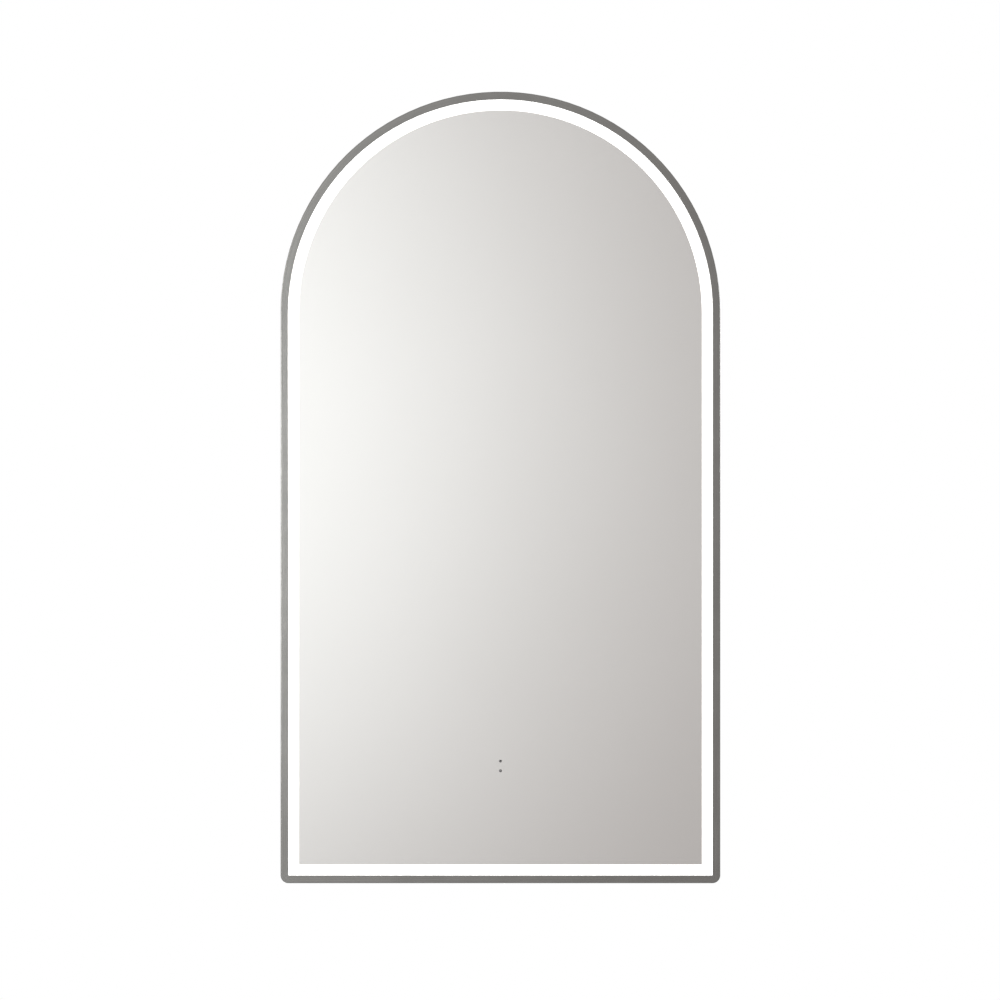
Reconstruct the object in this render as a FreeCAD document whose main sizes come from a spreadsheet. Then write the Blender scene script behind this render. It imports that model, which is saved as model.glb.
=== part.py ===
"""Lighted bathroom mirror with an arched top, hung on a wall rail.

All sizes are in millimetres. X runs along the wall, Z is up, and the wall face is the plane Y = 0.
The mirror faces -Y, so a "depth" in this file is the distance from the wall face towards the viewer.
An "inset" is the distance inwards from the outer outline of the frame.
The origin lies on the wall face, midway along the screw line of the wall rail.
"""
import FreeCAD, Part

import math
import os
import re

import Sketcher

SIZES = {
    # outline of the frame
    "frame_width": 500,
    "frame_height": 900,
    "frame_depth": 40,
    "frame_wall": 1.8,
    "outer_corner_radius": 9,
    "edge_round": 0.7,
    "lip_width": 8.8,
    "lip_thickness": 2,
    "lip_chamfer": 0.4,
    # gaps between the frame, the wall and the rail
    "wall_gap": 2,
    "rear_space": 11,
    "rail_above_bottom": 640,
    # mirror glass and what is stuck to it
    "band_width": 11.9,
    "glass_thickness": 4,
    "glass_clearance": 0.8,
    "gasket_thickness": 0.5,
    "gasket_setback": 0.6,
    "coating_thickness": 0.2,
    "film_thickness": 0.3,
    "film_setback": 0.4,
    "diffuser_thickness": 2,
    "diffuser_clearance": 0.6,
    "diffuser_setback": 0.4,
    # light channel behind the lit band
    "channel_gap": 0.3,
    "channel_wall": 1.2,
    "channel_depth": 20,
    "web_thickness": 1.5,
    "light_wall": 1.5,
    "light_wall_setback": 1.5,
    "light_wall_gap": 0.3,
    "flange_width": 12,
    "flange_thickness": 1.6,
    "key_inset": 9,
    "key_width": 12,
    "key_leg": 62,
    "key_thickness": 2,
    "key_screw_first": 32,
    "key_screw_pitch": 20,
    # light strips
    "strip_width": 8,
    "strip_thickness": 0.5,
    "strip_depth_gap": 1.5,
    "strip_end_gap": 25,
    "chip_pitch": 16.7,
    "chip_length": 3.5,
    "chip_width": 2.8,
    "chip_height": 0.8,
    "chip_seat_gap": 0.05,
    "connector_length": 8,
    "connector_height": 4,
    "connector_overlap": 0.75,
    # back panel, its clips and screws
    "panel_thickness": 1.5,
    "panel_clearance": 0.5,
    "vent_length": 60,
    "vent_width": 4,
    "vent_pitch": 12,
    "vent_count": 8,
    "lower_vent_above_bottom": 130,
    "upper_vent_above_arch_centre": 130,
    "bead_width": 8,
    "bead_height": 0.8,
    "bead_slope": 0.6,
    "bead_length": 360,
    "bead_from_cover": 19,
    "bead_above_bottom": 110,
    "clip_width": 16,
    "clip_thickness": 1.2,
    "clip_reach": 13,
    "clip_leg": 5,
    "weld_gap": 0.2,
    "rim_screw_inset": 8.5,
    "rim_screw_end": 80,
    "bottom_screw_spacing": 250,
    "screw_shank": 3,
    "screw_head": 5.6,
    "screw_head_height": 1.6,
    "screw_recess": 3.4,
    "screw_recess_width": 0.8,
    "screw_clearance": 0.2,
    "screw_end_past_thread": 1.5,
    # wall rail and the hanger that hooks over it
    "rail_length": 280,
    "rail_thickness": 2,
    "rail_below_screws": 18,
    "rail_above_screws": 16,
    "rail_hook_depth": 5,
    "rail_hook_height": 14,
    "rail_slot_spacing": 240,
    "rail_slot_length": 12,
    "rail_hole_spacing": 80,
    "rail_hole": 5.5,
    "hanger_length": 300,
    "hanger_thickness": 2,
    "hanger_plate_height": 28,
    "hook_side_gap": 0.6,
    "hook_end_gap": 1,
    "rivet_spacing": 88,
    "rivet_count": 4,
    "rivet_shank": 4,
    "rivet_head": 8,
    "rivet_head_height": 1.2,
    "rivet_tail": 5.6,
    "rivet_tail_end": 4.8,
    "rivet_tail_height": 2,
    "bumper_diameter": 20,
    "bumper_bevel": 1,
    "bumper_pin": 4,
    "bumper_barb": 6,
    "bumper_barb_length": 4,
    "bumper_side_inset": 70,
    "bumper_above_bottom": 42,
    # heating pad and foam supports behind the glass
    "heater_side_inset": 100,
    "heater_top_inset": 120,
    "heater_above_driver": 34,
    "heater_thickness": 0.4,
    "heater_tab_width": 14,
    "heater_tab_height": 18,
    "heater_tab_thickness": 4,
    "heater_tab_x": 10,
    "foam_size": 40,
    "foam_gap": 0.3,
    "foam_side_inset": 100,
    "foam_above_bottom": 90,
    "foam_arch_inset": 68,
    "foam_arch_angle": 57,
    # driver: the supply that feeds the strips, the heater and the sensor
    "driver_side_inset": 72,
    "driver_z": -302,
    "driver_length": 176,
    "driver_height": 56,
    "driver_case_depth": 18,
    "driver_wall": 1.8,
    "driver_lid_thickness": 2,
    "ear_length": 16,
    "ear_thickness": 2.4,
    "driver_post": 7,
    "driver_post_inset": 6,
    "board_thickness": 1.6,
    "board_gap": 0.5,
    "board_standoff": 3,
    "standoff": 5,
    "drill_depth": 2.2,
    "transformer_length": 26,
    "transformer_height": 22,
    "transformer_depth": 10,
    "core_height": 13,
    "winding_length": 16,
    "winding_depth": 9,
    "transformer_x": 22,
    "capacitor_diameter": 10,
    "capacitor_depth": 10,
    "capacitor_pitch": 13,
    "capacitor_count": 3,
    "capacitor_x": -28,
    "socket_length": 12,
    "socket_height": 9,
    "socket_depth": 7,
    # terminal box and its cover
    "terminal_x": 92,
    "terminal_length": 96,
    "terminal_height": 56,
    "terminal_depth": 19,
    "terminal_wall": 2,
    "terminal_block_length": 34,
    "terminal_block_height": 22,
    "terminal_block_depth": 13,
    "terminal_block_x": 20,
    "terminal_poles": 3,
    "clamp_screw": 4,
    "clamp_screw_hole_depth": 6,
    "access_length": 84,
    "access_height": 44,
    "cover_length": 118,
    "cover_height": 64,
    "cover_thickness": 1.2,
    "cover_corner_radius": 5,
    "cover_screw_inset": 6,
    # grommet for the supply cable
    "grommet_x": -24,
    "cable_hole": 8.4,
    "grommet_wall": 3.4,
    "grommet_flange": 2.2,
    "grommet_flange_thickness": 2,
    "grommet_groove_gap": 0.1,
    # earth stud
    "earth_from_box": 30,
    "earth_above_terminals": 30,
    "earth_stud": 4,
    "earth_stud_length": 12,
    "earth_base": 9,
    "earth_base_thickness": 1,
    "earth_tag": 9,
    "earth_tag_thickness": 0.8,
    "earth_barrel": 4.4,
    "earth_barrel_length": 7,
    "earth_nut_across_flats": 7,
    "earth_nut_height": 3.2,
    "thread_gap": 0.05,
    # touch sensor behind the two dots
    "dot_above_bottom": 133,
    "dot_spacing": 11,
    "dot_diameter": 3.3,
    "dot_pin_gap": 0.1,
    "sensor_width": 36,
    "sensor_height": 62,
    "sensor_depth": 9,
    "sensor_wall": 1.6,
    # leads between the housings
    "mains_lead": 6,
    "thin_lead": 3.2,
    "lead_hole_gap": 0.3,
    "lead_above_panel": 2.5,
    "lead_clip_length": 8,
    "lead_clip_wall": 2,
    "lead_clip_gap": 0.1,
    "mains_lead_offset": 7,
    "lead_turn": 10,
    # shares of a run: each bend, then the steps of the sensor lead and of the heater lead
    "lead_bend_share": 0.45,
    "sensor_lead_rise_share": 0.15,
    "sensor_lead_landing_share": 0.45,
    "sensor_lead_clip_share": 0.71,
    "sensor_lead_leaving_share": 0.85,
    "sensor_lead_entry_share": 0.95,
    "heater_lead_drop_share": 0.6,
    "heater_lead_entry_share": 0.5,
    "strip_lead_from_channel": 10,
    "sensor_socket_inset": 28,
    "heater_socket_inset": 18,
}

PLACES = {
    # heights
    "bottom_z": "-rail_above_bottom",
    "arch_radius": "frame_width / 2",
    "arch_z": "bottom_z + frame_height - arch_radius",
    # depths, from the wall face forwards
    "frame_front": "wall_gap + frame_depth",
    "lip_back": "frame_front - lip_thickness",
    "glass_front": "lip_back - gasket_thickness",
    "glass_back": "glass_front - glass_thickness",
    "coating_back": "glass_back - coating_thickness",
    "film_back": "coating_back - film_thickness",
    "diffuser_back": "glass_back - diffuser_thickness",
    "web_front": "frame_front - channel_depth",
    "web_back": "web_front - web_thickness",
    "light_wall_front": "film_back - light_wall_gap",
    "panel_back": "rear_space",
    "panel_front": "panel_back + panel_thickness",
    "flange_front": "panel_front + flange_thickness",
    # insets from the outer outline
    "glass_inset": "frame_wall + glass_clearance",
    "mirror_inset": "lip_width + band_width",
    "diffuser_inset": "frame_wall + diffuser_clearance",
    "channel_inset": "frame_wall + channel_gap",
    "light_wall_inset": "mirror_inset + light_wall_setback",
    "strip_inset": "channel_inset + channel_wall",
    "strip_face_inset": "strip_inset + strip_thickness",
    "chip_inset": "strip_face_inset + chip_seat_gap",
    "panel_inset": "frame_wall + panel_clearance",
    "strip_back": "web_front + strip_depth_gap",
    "strip_middle": "strip_back + strip_width / 2",
    # screws and hooks
    "screw_hole": "screw_shank + 2 * screw_clearance",
    "pilot_hole": "screw_shank + 2 * thread_gap",
    "rim_screw_pitch": "(arch_z - bottom_z - rim_screw_end) / 2",
    "rail_top": "rail_above_screws + rail_hook_height",
    "hook_back": "rail_hook_depth - hook_side_gap - hanger_thickness",
    "rivet_z": "rail_top + hanger_thickness + hanger_plate_height / 2",
    # driver, terminal box and sensor
    "driver_x": "-(arch_radius - driver_side_inset - driver_length / 2)",
    "driver_floor": "panel_front + driver_wall",
    "driver_rim": "panel_front + driver_case_depth",
    "driver_board_back": "driver_floor + board_standoff",
    "driver_board_front": "driver_board_back + board_thickness",
    "driver_board_length": "driver_length - 2 * driver_post_inset - driver_post - 2 * board_gap",
    "driver_board_height": "driver_height - 2 * driver_wall - 2 * board_gap",
    "driver_ear_x": "(driver_length + ear_length) / 2",
    "sensor_lead_x": "driver_x + driver_length / 2 - sensor_socket_inset",
    "heater_lead_x": "driver_x + driver_length / 2 - heater_socket_inset",
    "terminal_floor": "panel_front + terminal_depth - terminal_wall",
    "terminal_block_back": "terminal_floor - terminal_block_depth",
    "cover_back": "panel_back - cover_thickness",
    "cover_screw_x": "cover_length / 2 - cover_screw_inset",
    "cover_screw_z": "cover_height / 2 - cover_screw_inset",
    "grommet_body": "cable_hole + 2 * grommet_wall",
    "sensor_z": "bottom_z + dot_above_bottom",
    "sensor_back": "film_back - sensor_depth",
    "dot_pin": "dot_diameter - 2 * dot_pin_gap",
    "lower_vent_z": "bottom_z + lower_vent_above_bottom",
    "upper_vent_z": "arch_z + upper_vent_above_arch_centre",
    "vent_spread": "(vent_count - 1) * vent_pitch",
    "lead_depth": "panel_front + lead_above_panel + thin_lead / 2",
    "socket_depth_middle": "driver_board_front + socket_depth / 2",
    "socket_x": "(driver_board_length - socket_length) / 2",
    "socket_z": "(driver_board_height - socket_height) / 2",
    "strip_lead_x": "-(arch_radius - light_wall_inset - light_wall - strip_lead_from_channel)",
    "grommet_middle": "terminal_x + grommet_x",
    "earth_x": "terminal_x + terminal_length / 2 + earth_from_box",
    "earth_z": "driver_z + earth_above_terminals",
    "earth_tag_back": "panel_front + earth_base_thickness",
    "heater_width": "frame_width - 2 * heater_side_inset",
    "heater_z": "driver_z + driver_height / 2 + heater_above_driver",
    "heater_height": "arch_z + arch_radius - heater_top_inset - heater_z",
    "heater_back": "film_back - heater_thickness",
    "heater_tab_low": "heater_z + board_gap",
    "sensor_floor": "sensor_back + sensor_wall",
    "sensor_board_front": "film_back - board_gap",
    "sensor_lead_depth": "sensor_floor + lead_hole_gap + thin_lead / 2",
    "connector_back": "strip_back - connector_overlap",
    "connector_front": "strip_back + strip_width + connector_overlap",
    "connector_x": "arch_radius - strip_inset - connector_height / 2",
    "connector_z": "bottom_z + strip_end_gap - connector_length / 2",
}

FORMULA_WORDS = ("cos", "sin", "sqrt", "floor", "deg", "pi")
BACKWARD = FreeCAD.Vector(0, 1, 0)

document = FreeCAD.newDocument("lighted_mirror")


# ---------------------------------------------------------------- sizes and formulas

def formula(text, home=""):
    """Point each plain name in a formula at the object that holds it."""
    def full_name(match):
        name = match.group()
        if name in SIZES:
            return "Sizes." + name
        if name in PLACES:
            return name if home == "Places" else "Places." + name
        if name in FORMULA_WORDS:
            return name
        raise NameError(f"{name} is neither a size nor a place")
    return re.sub(r"[a-z_][a-z_0-9]*", full_name, str(text))


def value(text):
    """The number that a formula gives now."""
    return float(document.getObject("Sizes").evalExpression(formula(text)))


def bind(feature, **properties):
    """Tie properties of a feature to formulas."""
    for name, text in properties.items():
        feature.setExpression(name, formula(text))


def move_to(feature, x, z):
    """Place a feature along the wall and up, at formula places."""
    feature.setExpression("Placement.Base.x", formula(x))
    feature.setExpression("Placement.Base.z", formula(z))


def write_sheet():
    """Keep the driving sizes in a spreadsheet and the places worked out from them beside it."""
    sheet = document.addObject("Spreadsheet::Sheet", "Sizes")
    for row, (name, size) in enumerate(SIZES.items(), 1):
        sheet.set(f"A{row}", name)
        sheet.set(f"B{row}", str(size))
        sheet.setAlias(f"B{row}", name)
    document.recompute()
    places = document.addObject("App::VarSet", "Places")
    for name, text in PLACES.items():
        places.addProperty("App::PropertyFloat", name)
        places.setExpression(name, formula(text, home="Places"))
    document.recompute()


# ---------------------------------------------------------------- sketches

def new_body(label):
    body = document.addObject("PartDesign::Body", label)
    body.Label = label
    return body


def origin_feature(body, role):
    return next(feature for feature in body.Origin.OriginFeatures if feature.Role == role)


def new_sketch(body, offset, role="XZ_Plane"):
    """A sketch parallel to a plane of the body: on XZ_Plane the offset is the depth."""
    sketch = body.newObject("Sketcher::SketchObject", body.Label + "_sketch")
    sketch.AttachmentSupport = (origin_feature(body, role), [""])
    sketch.MapMode = "FlatFace"
    sketch.setExpression("AttachmentOffset.Base.z", formula(offset))
    return sketch


def constrain(sketch, kind, *where, text):
    """Add one dimension to a sketch and tie it to a formula."""
    index = sketch.addConstraint(Sketcher.Constraint(kind, *where, value(text)))
    sketch.setExpression(f"Constraints[{index}]", formula(text))


def pin(sketch, geometry, point, x, z):
    """Hold one point of a sketch at a formula place."""
    constrain(sketch, "DistanceX", -1, 1, geometry, point, text=x)
    constrain(sketch, "DistanceY", -1, 1, geometry, point, text=z)


def draw_polygon(sketch, points):
    corners = [FreeCAD.Vector(value(x), value(z), 0) for x, z in points]
    following = corners[1:] + corners[:1]
    lines = [sketch.addGeometry(Part.LineSegment(a, b), False) for a, b in zip(corners, following)]
    for index, line in enumerate(lines):
        sketch.addConstraint(Sketcher.Constraint("Coincident", lines[index - 1], 2, line, 1))
        pin(sketch, line, 1, *points[index])


def draw_box(sketch, x, z, width, height):
    """A rectangle centred on a place."""
    left, right = f"{x} - ({width}) / 2", f"{x} + ({width}) / 2"
    low, high = f"{z} - ({height}) / 2", f"{z} + ({height}) / 2"
    draw_polygon(sketch, [(left, low), (right, low), (right, high), (left, high)])


def draw_circle(sketch, x, z, diameter):
    middle = FreeCAD.Vector(value(x), value(z), 0)
    circle = sketch.addGeometry(Part.Circle(middle, FreeCAD.Vector(0, 0, 1), value(diameter) / 2), False)
    pin(sketch, circle, 3, x, z)
    constrain(sketch, "Diameter", circle, text=diameter)


def add_arc(sketch, x, z, radius, start, end):
    """An arc drawn from its start angle to its end angle, in degrees."""
    circle = Part.Circle(FreeCAD.Vector(x, z, 0), FreeCAD.Vector(0, 0, 1), radius)
    return sketch.addGeometry(Part.ArcOfCircle(circle, math.radians(start), math.radians(end)), False)


def add_line(sketch, start, end):
    return sketch.addGeometry(Part.LineSegment(FreeCAD.Vector(*start, 0), FreeCAD.Vector(*end, 0)), False)


def join_tangent(sketch, *chain):
    """Join a closed chain of lines and arcs end to start, each tangent to the next."""
    for first, second in zip(chain, chain[1:] + chain[:1]):
        sketch.addConstraint(Sketcher.Constraint("Tangent", first, 2, second, 1))


def draw_slot(sketch, x, z, length, width):
    """A slot with round ends that lies along X."""
    reach = f"(({length}) - ({width})) / 2"
    middle_x, middle_z, half, radius = value(x), value(z), value(reach), value(width) / 2
    left, right = middle_x - half, middle_x + half
    right_end = add_arc(sketch, right, middle_z, radius, -90, 90)
    top = add_line(sketch, (right, middle_z + radius), (left, middle_z + radius))
    left_end = add_arc(sketch, left, middle_z, radius, 90, 270)
    base = add_line(sketch, (left, middle_z - radius), (right, middle_z - radius))
    join_tangent(sketch, right_end, top, left_end, base)
    pin(sketch, right_end, 3, f"{x} + {reach}", z)
    pin(sketch, left_end, 3, f"{x} - {reach}", z)
    sketch.addConstraint(Sketcher.Constraint("Equal", right_end, left_end))
    constrain(sketch, "Radius", right_end, text=f"({width}) / 2")


def draw_arch(sketch, inset, corner=None):
    """The outline of the frame moved inwards: a flat foot, two straight sides and a round top.

    With a corner radius the two foot corners are rounded, and without one they are sharp.
    """
    half, low, centre = value(f"arch_radius - ({inset})"), value(f"bottom_z + {inset}"), value("arch_z")
    rounding = value(corner) if corner else 0
    foot = add_line(sketch, (-half + rounding, low), (half - rounding, low))
    right = add_line(sketch, (half, low + rounding), (half, centre))
    top = add_arc(sketch, 0, centre, half, 0, 180)
    left = add_line(sketch, (-half, centre), (-half, low + rounding))
    if corner:
        right_corner = add_arc(sketch, half - rounding, low + rounding, rounding, 270, 360)
        left_corner = add_arc(sketch, -half + rounding, low + rounding, rounding, 180, 270)
        join_tangent(sketch, foot, right_corner, right, top, left, left_corner)
        constrain(sketch, "Radius", right_corner, text=corner)
        constrain(sketch, "Radius", left_corner, text=corner)
    else:
        sketch.addConstraint(Sketcher.Constraint("Coincident", foot, 2, right, 1))
        sketch.addConstraint(Sketcher.Constraint("Tangent", right, 2, top, 1))
        sketch.addConstraint(Sketcher.Constraint("Tangent", top, 2, left, 1))
        sketch.addConstraint(Sketcher.Constraint("Coincident", left, 2, foot, 1))
    for line, direction in ((foot, "Horizontal"), (right, "Vertical"), (left, "Vertical")):
        sketch.addConstraint(Sketcher.Constraint(direction, line))
    pin(sketch, top, 3, "0", "arch_z")
    constrain(sketch, "Radius", top, text=f"arch_radius - ({inset})")
    constrain(sketch, "DistanceY", -1, 1, foot, 1, text=f"bottom_z + {inset}")


def concentric_corner(inset):
    """The radius of a corner that runs parallel to the rounded corner of the frame."""
    return f"outer_corner_radius - ({inset})"


# ---------------------------------------------------------------- features

def pad(body, sketch, length):
    """Fill a sketch from its own plane towards the viewer."""
    feature = body.newObject("PartDesign::Pad", body.Label + "_pad")
    feature.Profile = sketch
    bind(feature, Length=length)
    document.recompute()
    return feature


def pocket(body, sketch, length, reverse=False):
    """Cut a sketch backwards from its own plane, or forwards when reversed, and check that it cuts."""
    before = body.Shape.Volume
    feature = body.newObject("PartDesign::Pocket", body.Label + "_pocket")
    feature.Profile = sketch
    feature.Reversed = reverse
    bind(feature, Length=length)
    document.recompute()
    if body.Shape.Volume >= before:
        raise RuntimeError(f"{feature.Label} cuts nothing")
    return feature


def layer(body, outlines, back, front):
    """Pad outlines between two depths: an outline that lies inside another is a hole in it."""
    sketch = new_sketch(body, back)
    for draw, arguments in outlines:
        draw(sketch, *arguments)
    return pad(body, sketch, f"{front} - ({back})")


def cut(body, outlines, back, front):
    """Pocket outlines between two depths."""
    sketch = new_sketch(body, front)
    for draw, arguments in outlines:
        draw(sketch, *arguments)
    return pocket(body, sketch, f"{front} - ({back})")


def circles(spots, diameter):
    return [(draw_circle, (x, z, diameter)) for x, z in spots]


def edges_where(shape, test):
    return [f"Edge{index}" for index, edge in enumerate(shape.Edges, 1) if test(edge)]


def repeat(label, master, spots):
    """Stand copies of a master body at places, each turned about the depth axis by an angle."""
    copies = []
    for x, z, angle in spots:
        copy = document.addObject("App::Link", label + "_copy")
        copy.LinkedObject = master
        copy.Placement = FreeCAD.Placement(FreeCAD.Vector(), FreeCAD.Rotation(BACKWARD, 1))
        copy.setExpression("Placement.Rotation.Angle", formula(f"-({angle}) * 1 deg"))
        copy.setExpression("Placement.Base.x", formula(x))
        copy.setExpression("Placement.Base.z", formula(z))
        copies.append(copy)
    group = document.addObject("Part::Compound", label)
    group.Label = label
    group.Links = copies
    return group


def upright(spots):
    """Places whose copies stand as the master does."""
    return [(x, z, "0") for x, z in spots]


def turned_body(label, outline):
    """A round body on the depth axis, from an outline of (radius, depth) pairs."""
    body = new_body(label)
    sketch = new_sketch(body, "0", role="XY_Plane")
    draw_polygon(sketch, [(radius, f"-({depth})") for radius, depth in outline])
    turn = body.newObject("PartDesign::Revolution", label + "_turn")
    turn.Profile = sketch
    turn.ReferenceAxis = (sketch, ["V_Axis"])
    turn.Angle = 360
    document.recompute()
    return body


def screw(label, seat, tip, head="-"):
    """A cross-head screw on the depth axis, from the seat of its head to its tip.

    The head lies behind the seat ("-", driven from behind) or in front of it ("+").
    """
    body = turned_body(label, [
        ("0", f"{seat} {head} screw_head_height"),
        ("screw_head / 3", f"{seat} {head} screw_head_height"),
        ("screw_head / 2", f"{seat} {head} screw_head_height * 2 / 3"),
        ("screw_head / 2", seat),
        ("screw_shank / 2", seat),
        ("screw_shank / 2", f"{tip} {head} screw_shank / 2"),
        ("0", tip),
    ])
    ends = [f"{seat} {head} screw_head_height", f"{seat} {head} screw_head_height / 2"]
    back, front = sorted(ends, key=value)
    for width, height in (("screw_recess", "screw_recess_width"), ("screw_recess_width", "screw_recess")):
        cut(body, [(draw_box, ("0", "0", width, height))], back, front)
    return body


def route_shape(points, diameter):
    """A round lead through points (x, depth, z): straight runs joined by tangent arcs."""
    corners = [FreeCAD.Vector(value(x), -value(depth), value(z)) for x, depth, z in points]
    edges = []
    start = corners[0]
    for before, corner, after in zip(corners, corners[1:], corners[2:]):
        arriving, leaving = (before - corner).normalize(), (after - corner).normalize()
        shorter = min(before.distanceToPoint(corner), after.distanceToPoint(corner))
        trim = value("lead_bend_share") * shorter
        half_angle = arriving.getAngle(leaving) / 2
        bisector = (arriving + leaving).normalize()
        reach = trim / math.cos(half_angle)
        radius = trim * math.tan(half_angle)
        bend_start, bend_end = corner + arriving * trim, corner + leaving * trim
        bend = Part.Arc(bend_start, corner + bisector * (reach - radius), bend_end)
        edges += [Part.LineSegment(start, bend_start).toShape(), bend.toShape()]
        start = bend_end
    edges.append(Part.LineSegment(start, corners[-1]).toShape())
    path = Part.Wire(edges)
    direction = (corners[1] - corners[0]).normalize()
    section = Part.Wire(Part.Circle(corners[0], direction, value(diameter) / 2).toShape())
    return path.makePipeShell([section], True, False)


def lead(label, points, diameter):
    piece = document.addObject("Part::Feature", label)
    piece.Label = label
    piece.Shape = route_shape(points, diameter)
    return piece


# ---------------------------------------------------------------- places round the rim

def rim_spot(angle, inset):
    """A place on the arch, at an angle from its right-hand end."""
    reach = f"(arch_radius - ({inset}))"
    return f"{reach} * cos({angle} * 1 deg)", f"arch_z + {reach} * sin({angle} * 1 deg)"


def rim_spots(inset):
    """Places of the clips and panel screws round the rim, each with the angle that points outwards."""
    spots = []
    for row in range(3):
        height = f"bottom_z + rim_screw_end + {row} * rim_screw_pitch"
        spots.append((f"arch_radius - ({inset})", height, "0"))
        spots.append((f"-(arch_radius - ({inset}))", height, "180"))
    for angle in ("45", "90", "135"):
        spots.append((*rim_spot(angle, inset), angle))
    for side in ("-", ""):
        spots.append((f"{side}bottom_screw_spacing / 2", f"bottom_z + {inset}", "-90"))
    return spots


def rim_screw_spots():
    return [(x, z) for x, z, angle in rim_spots("rim_screw_inset")]


def corner_screw_spots():
    """Places of the corner key screws: two in each leg of each key."""
    spots = []
    across = "key_inset + key_width / 2"
    for row in range(2):
        along = f"key_screw_first + {row} * key_screw_pitch"
        for side in ("-", ""):
            spots.append((f"{side}(arch_radius - ({across}))", f"bottom_z + {along}"))
            spots.append((f"{side}(arch_radius - ({along}))", f"bottom_z + {across}"))
    return spots


# ---------------------------------------------------------------- frame, glass and layers

def make_outer_frame():
    """Bent metal band with a narrow lip round the front."""
    body = new_body("outer_frame")
    outer = (draw_arch, ("0", "outer_corner_radius"))
    inner = (draw_arch, ("frame_wall", concentric_corner("frame_wall")))
    opening = (draw_arch, ("lip_width",))
    layer(body, [outer, inner], "wall_gap", "lip_back")
    lip = layer(body, [outer, opening], "lip_back", "frame_front")

    def on_front(edge):
        return abs(edge.BoundBox.YMin + value("frame_front")) < 1e-6 and edge.BoundBox.YLength < 1e-6

    def is_outer(edge):
        box = edge.BoundBox
        reach = max(abs(box.XMin), abs(box.XMax), box.ZMax - value("arch_z"))
        inside = value("arch_radius - lip_width") + 1e-6
        return reach > inside or box.ZMin < value("bottom_z + lip_width") - 1e-6

    rounding = body.newObject("PartDesign::Fillet", "outer_edge_round")
    rounding.Base = (lip, edges_where(lip.Shape, lambda edge: on_front(edge) and is_outer(edge)))
    bind(rounding, Radius="edge_round")
    document.recompute()
    bevel = body.newObject("PartDesign::Chamfer", "inner_edge_bevel")
    bevel.Base = (rounding, edges_where(rounding.Shape, lambda edge: on_front(edge) and not is_outer(edge)))
    bind(bevel, Size="lip_chamfer")
    document.recompute()
    return body


def make_glass_gasket():
    body = new_body("glass_gasket")
    outer = (draw_arch, ("glass_inset", concentric_corner("glass_inset")))
    inner = (draw_arch, ("lip_width - gasket_setback",))
    layer(body, [outer, inner], "glass_front", "lip_back")
    return body


def make_mirror_glass():
    body = new_body("mirror_glass")
    layer(body, [(draw_arch, ("glass_inset", concentric_corner("glass_inset")))], "glass_back", "glass_front")
    return body


def dot_spots():
    return [("0", "sensor_z - dot_spacing / 2"), ("0", "sensor_z + dot_spacing / 2")]


def make_silver_coating():
    body = new_body("silver_coating")
    holes = circles(dot_spots(), "dot_diameter")
    layer(body, [(draw_arch, ("mirror_inset",))] + holes, "coating_back", "glass_back")
    return body


def make_safety_film():
    body = new_body("safety_film")
    holes = circles(dot_spots(), "dot_diameter")
    layer(body, [(draw_arch, ("mirror_inset + film_setback",))] + holes, "film_back", "coating_back")
    return body


def make_light_diffuser():
    body = new_body("light_diffuser")
    outer = (draw_arch, ("diffuser_inset", concentric_corner("diffuser_inset")))
    inner = (draw_arch, ("mirror_inset - diffuser_setback",))
    layer(body, [outer, inner], "diffuser_back", "glass_back")
    return body


# ---------------------------------------------------------------- light channel

CHANNEL_SECTION = [
    ("channel_inset", "panel_front"),
    ("channel_inset", "diffuser_back"),
    ("channel_inset + channel_wall", "diffuser_back"),
    ("channel_inset + channel_wall", "web_front"),
    ("light_wall_inset", "web_front"),
    ("light_wall_inset", "light_wall_front"),
    ("light_wall_inset + light_wall", "light_wall_front"),
    ("light_wall_inset + light_wall", "web_back"),
    ("channel_inset + channel_wall", "web_back"),
    ("channel_inset + channel_wall", "flange_front"),
    ("channel_inset + flange_width", "flange_front"),
    ("channel_inset + flange_width", "panel_front"),
]


def side_section(body, side):
    """The channel's section on a level plane through the arch centre: side is 1 right or -1 left."""
    sketch = new_sketch(body, "arch_z", role="XY_Plane")
    points = [(f"{side} * (arch_radius - ({inset}))", f"-({depth})") for inset, depth in CHANNEL_SECTION]
    draw_polygon(sketch, points)
    return sketch


def corner_relief():
    """Triangles that clear the rounded corners of the frame."""
    leg = "(outer_corner_radius + channel_inset)"
    return [(draw_polygon, ([(f"{side}arch_radius", "bottom_z"),
                             (f"{side}(arch_radius - {leg})", "bottom_z"),
                             (f"{side}arch_radius", f"bottom_z + {leg}")],)) for side in ("-", "")]


def connector_hole():
    """The hole in the web behind the connector at the left foot corner."""
    return circles([("-connector_x", "connector_z")], "thin_lead + 2 * lead_hole_gap")


def make_channel_arch():
    """The channel up both sides and over the arch, mitred at the foot."""
    body = new_body("channel_arch")
    bend = body.newObject("PartDesign::Revolution", "channel_bend")
    section = side_section(body, 1)
    bend.Profile = section
    bend.ReferenceAxis = (section, ["V_Axis"])
    bend.Angle = 180
    bend.Reversed = True
    document.recompute()
    for side in (1, -1):
        leg = pad(body, side_section(body, side), "arch_z - bottom_z")
        leg.Reversed = True
        document.recompute()
    mitre_top = "bottom_z + arch_radius / 2"
    mitre = [("-arch_radius", "bottom_z"), ("arch_radius", "bottom_z"),
             ("arch_radius / 2", mitre_top), ("-arch_radius / 2", mitre_top)]
    cut(body, [(draw_polygon, (mitre,))], "wall_gap", "frame_front")
    cut(body, corner_relief(), "wall_gap", "frame_front")
    cut(body, circles(rim_screw_spots()[:-2], "pilot_hole"), "panel_front", "flange_front")
    key_holes = [spot for index, spot in enumerate(corner_screw_spots()) if index % 2 == 0]
    cut(body, circles(key_holes, "pilot_hole"), "web_back", "web_front")
    cut(body, connector_hole(), "web_back", "web_front")
    return body


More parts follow.
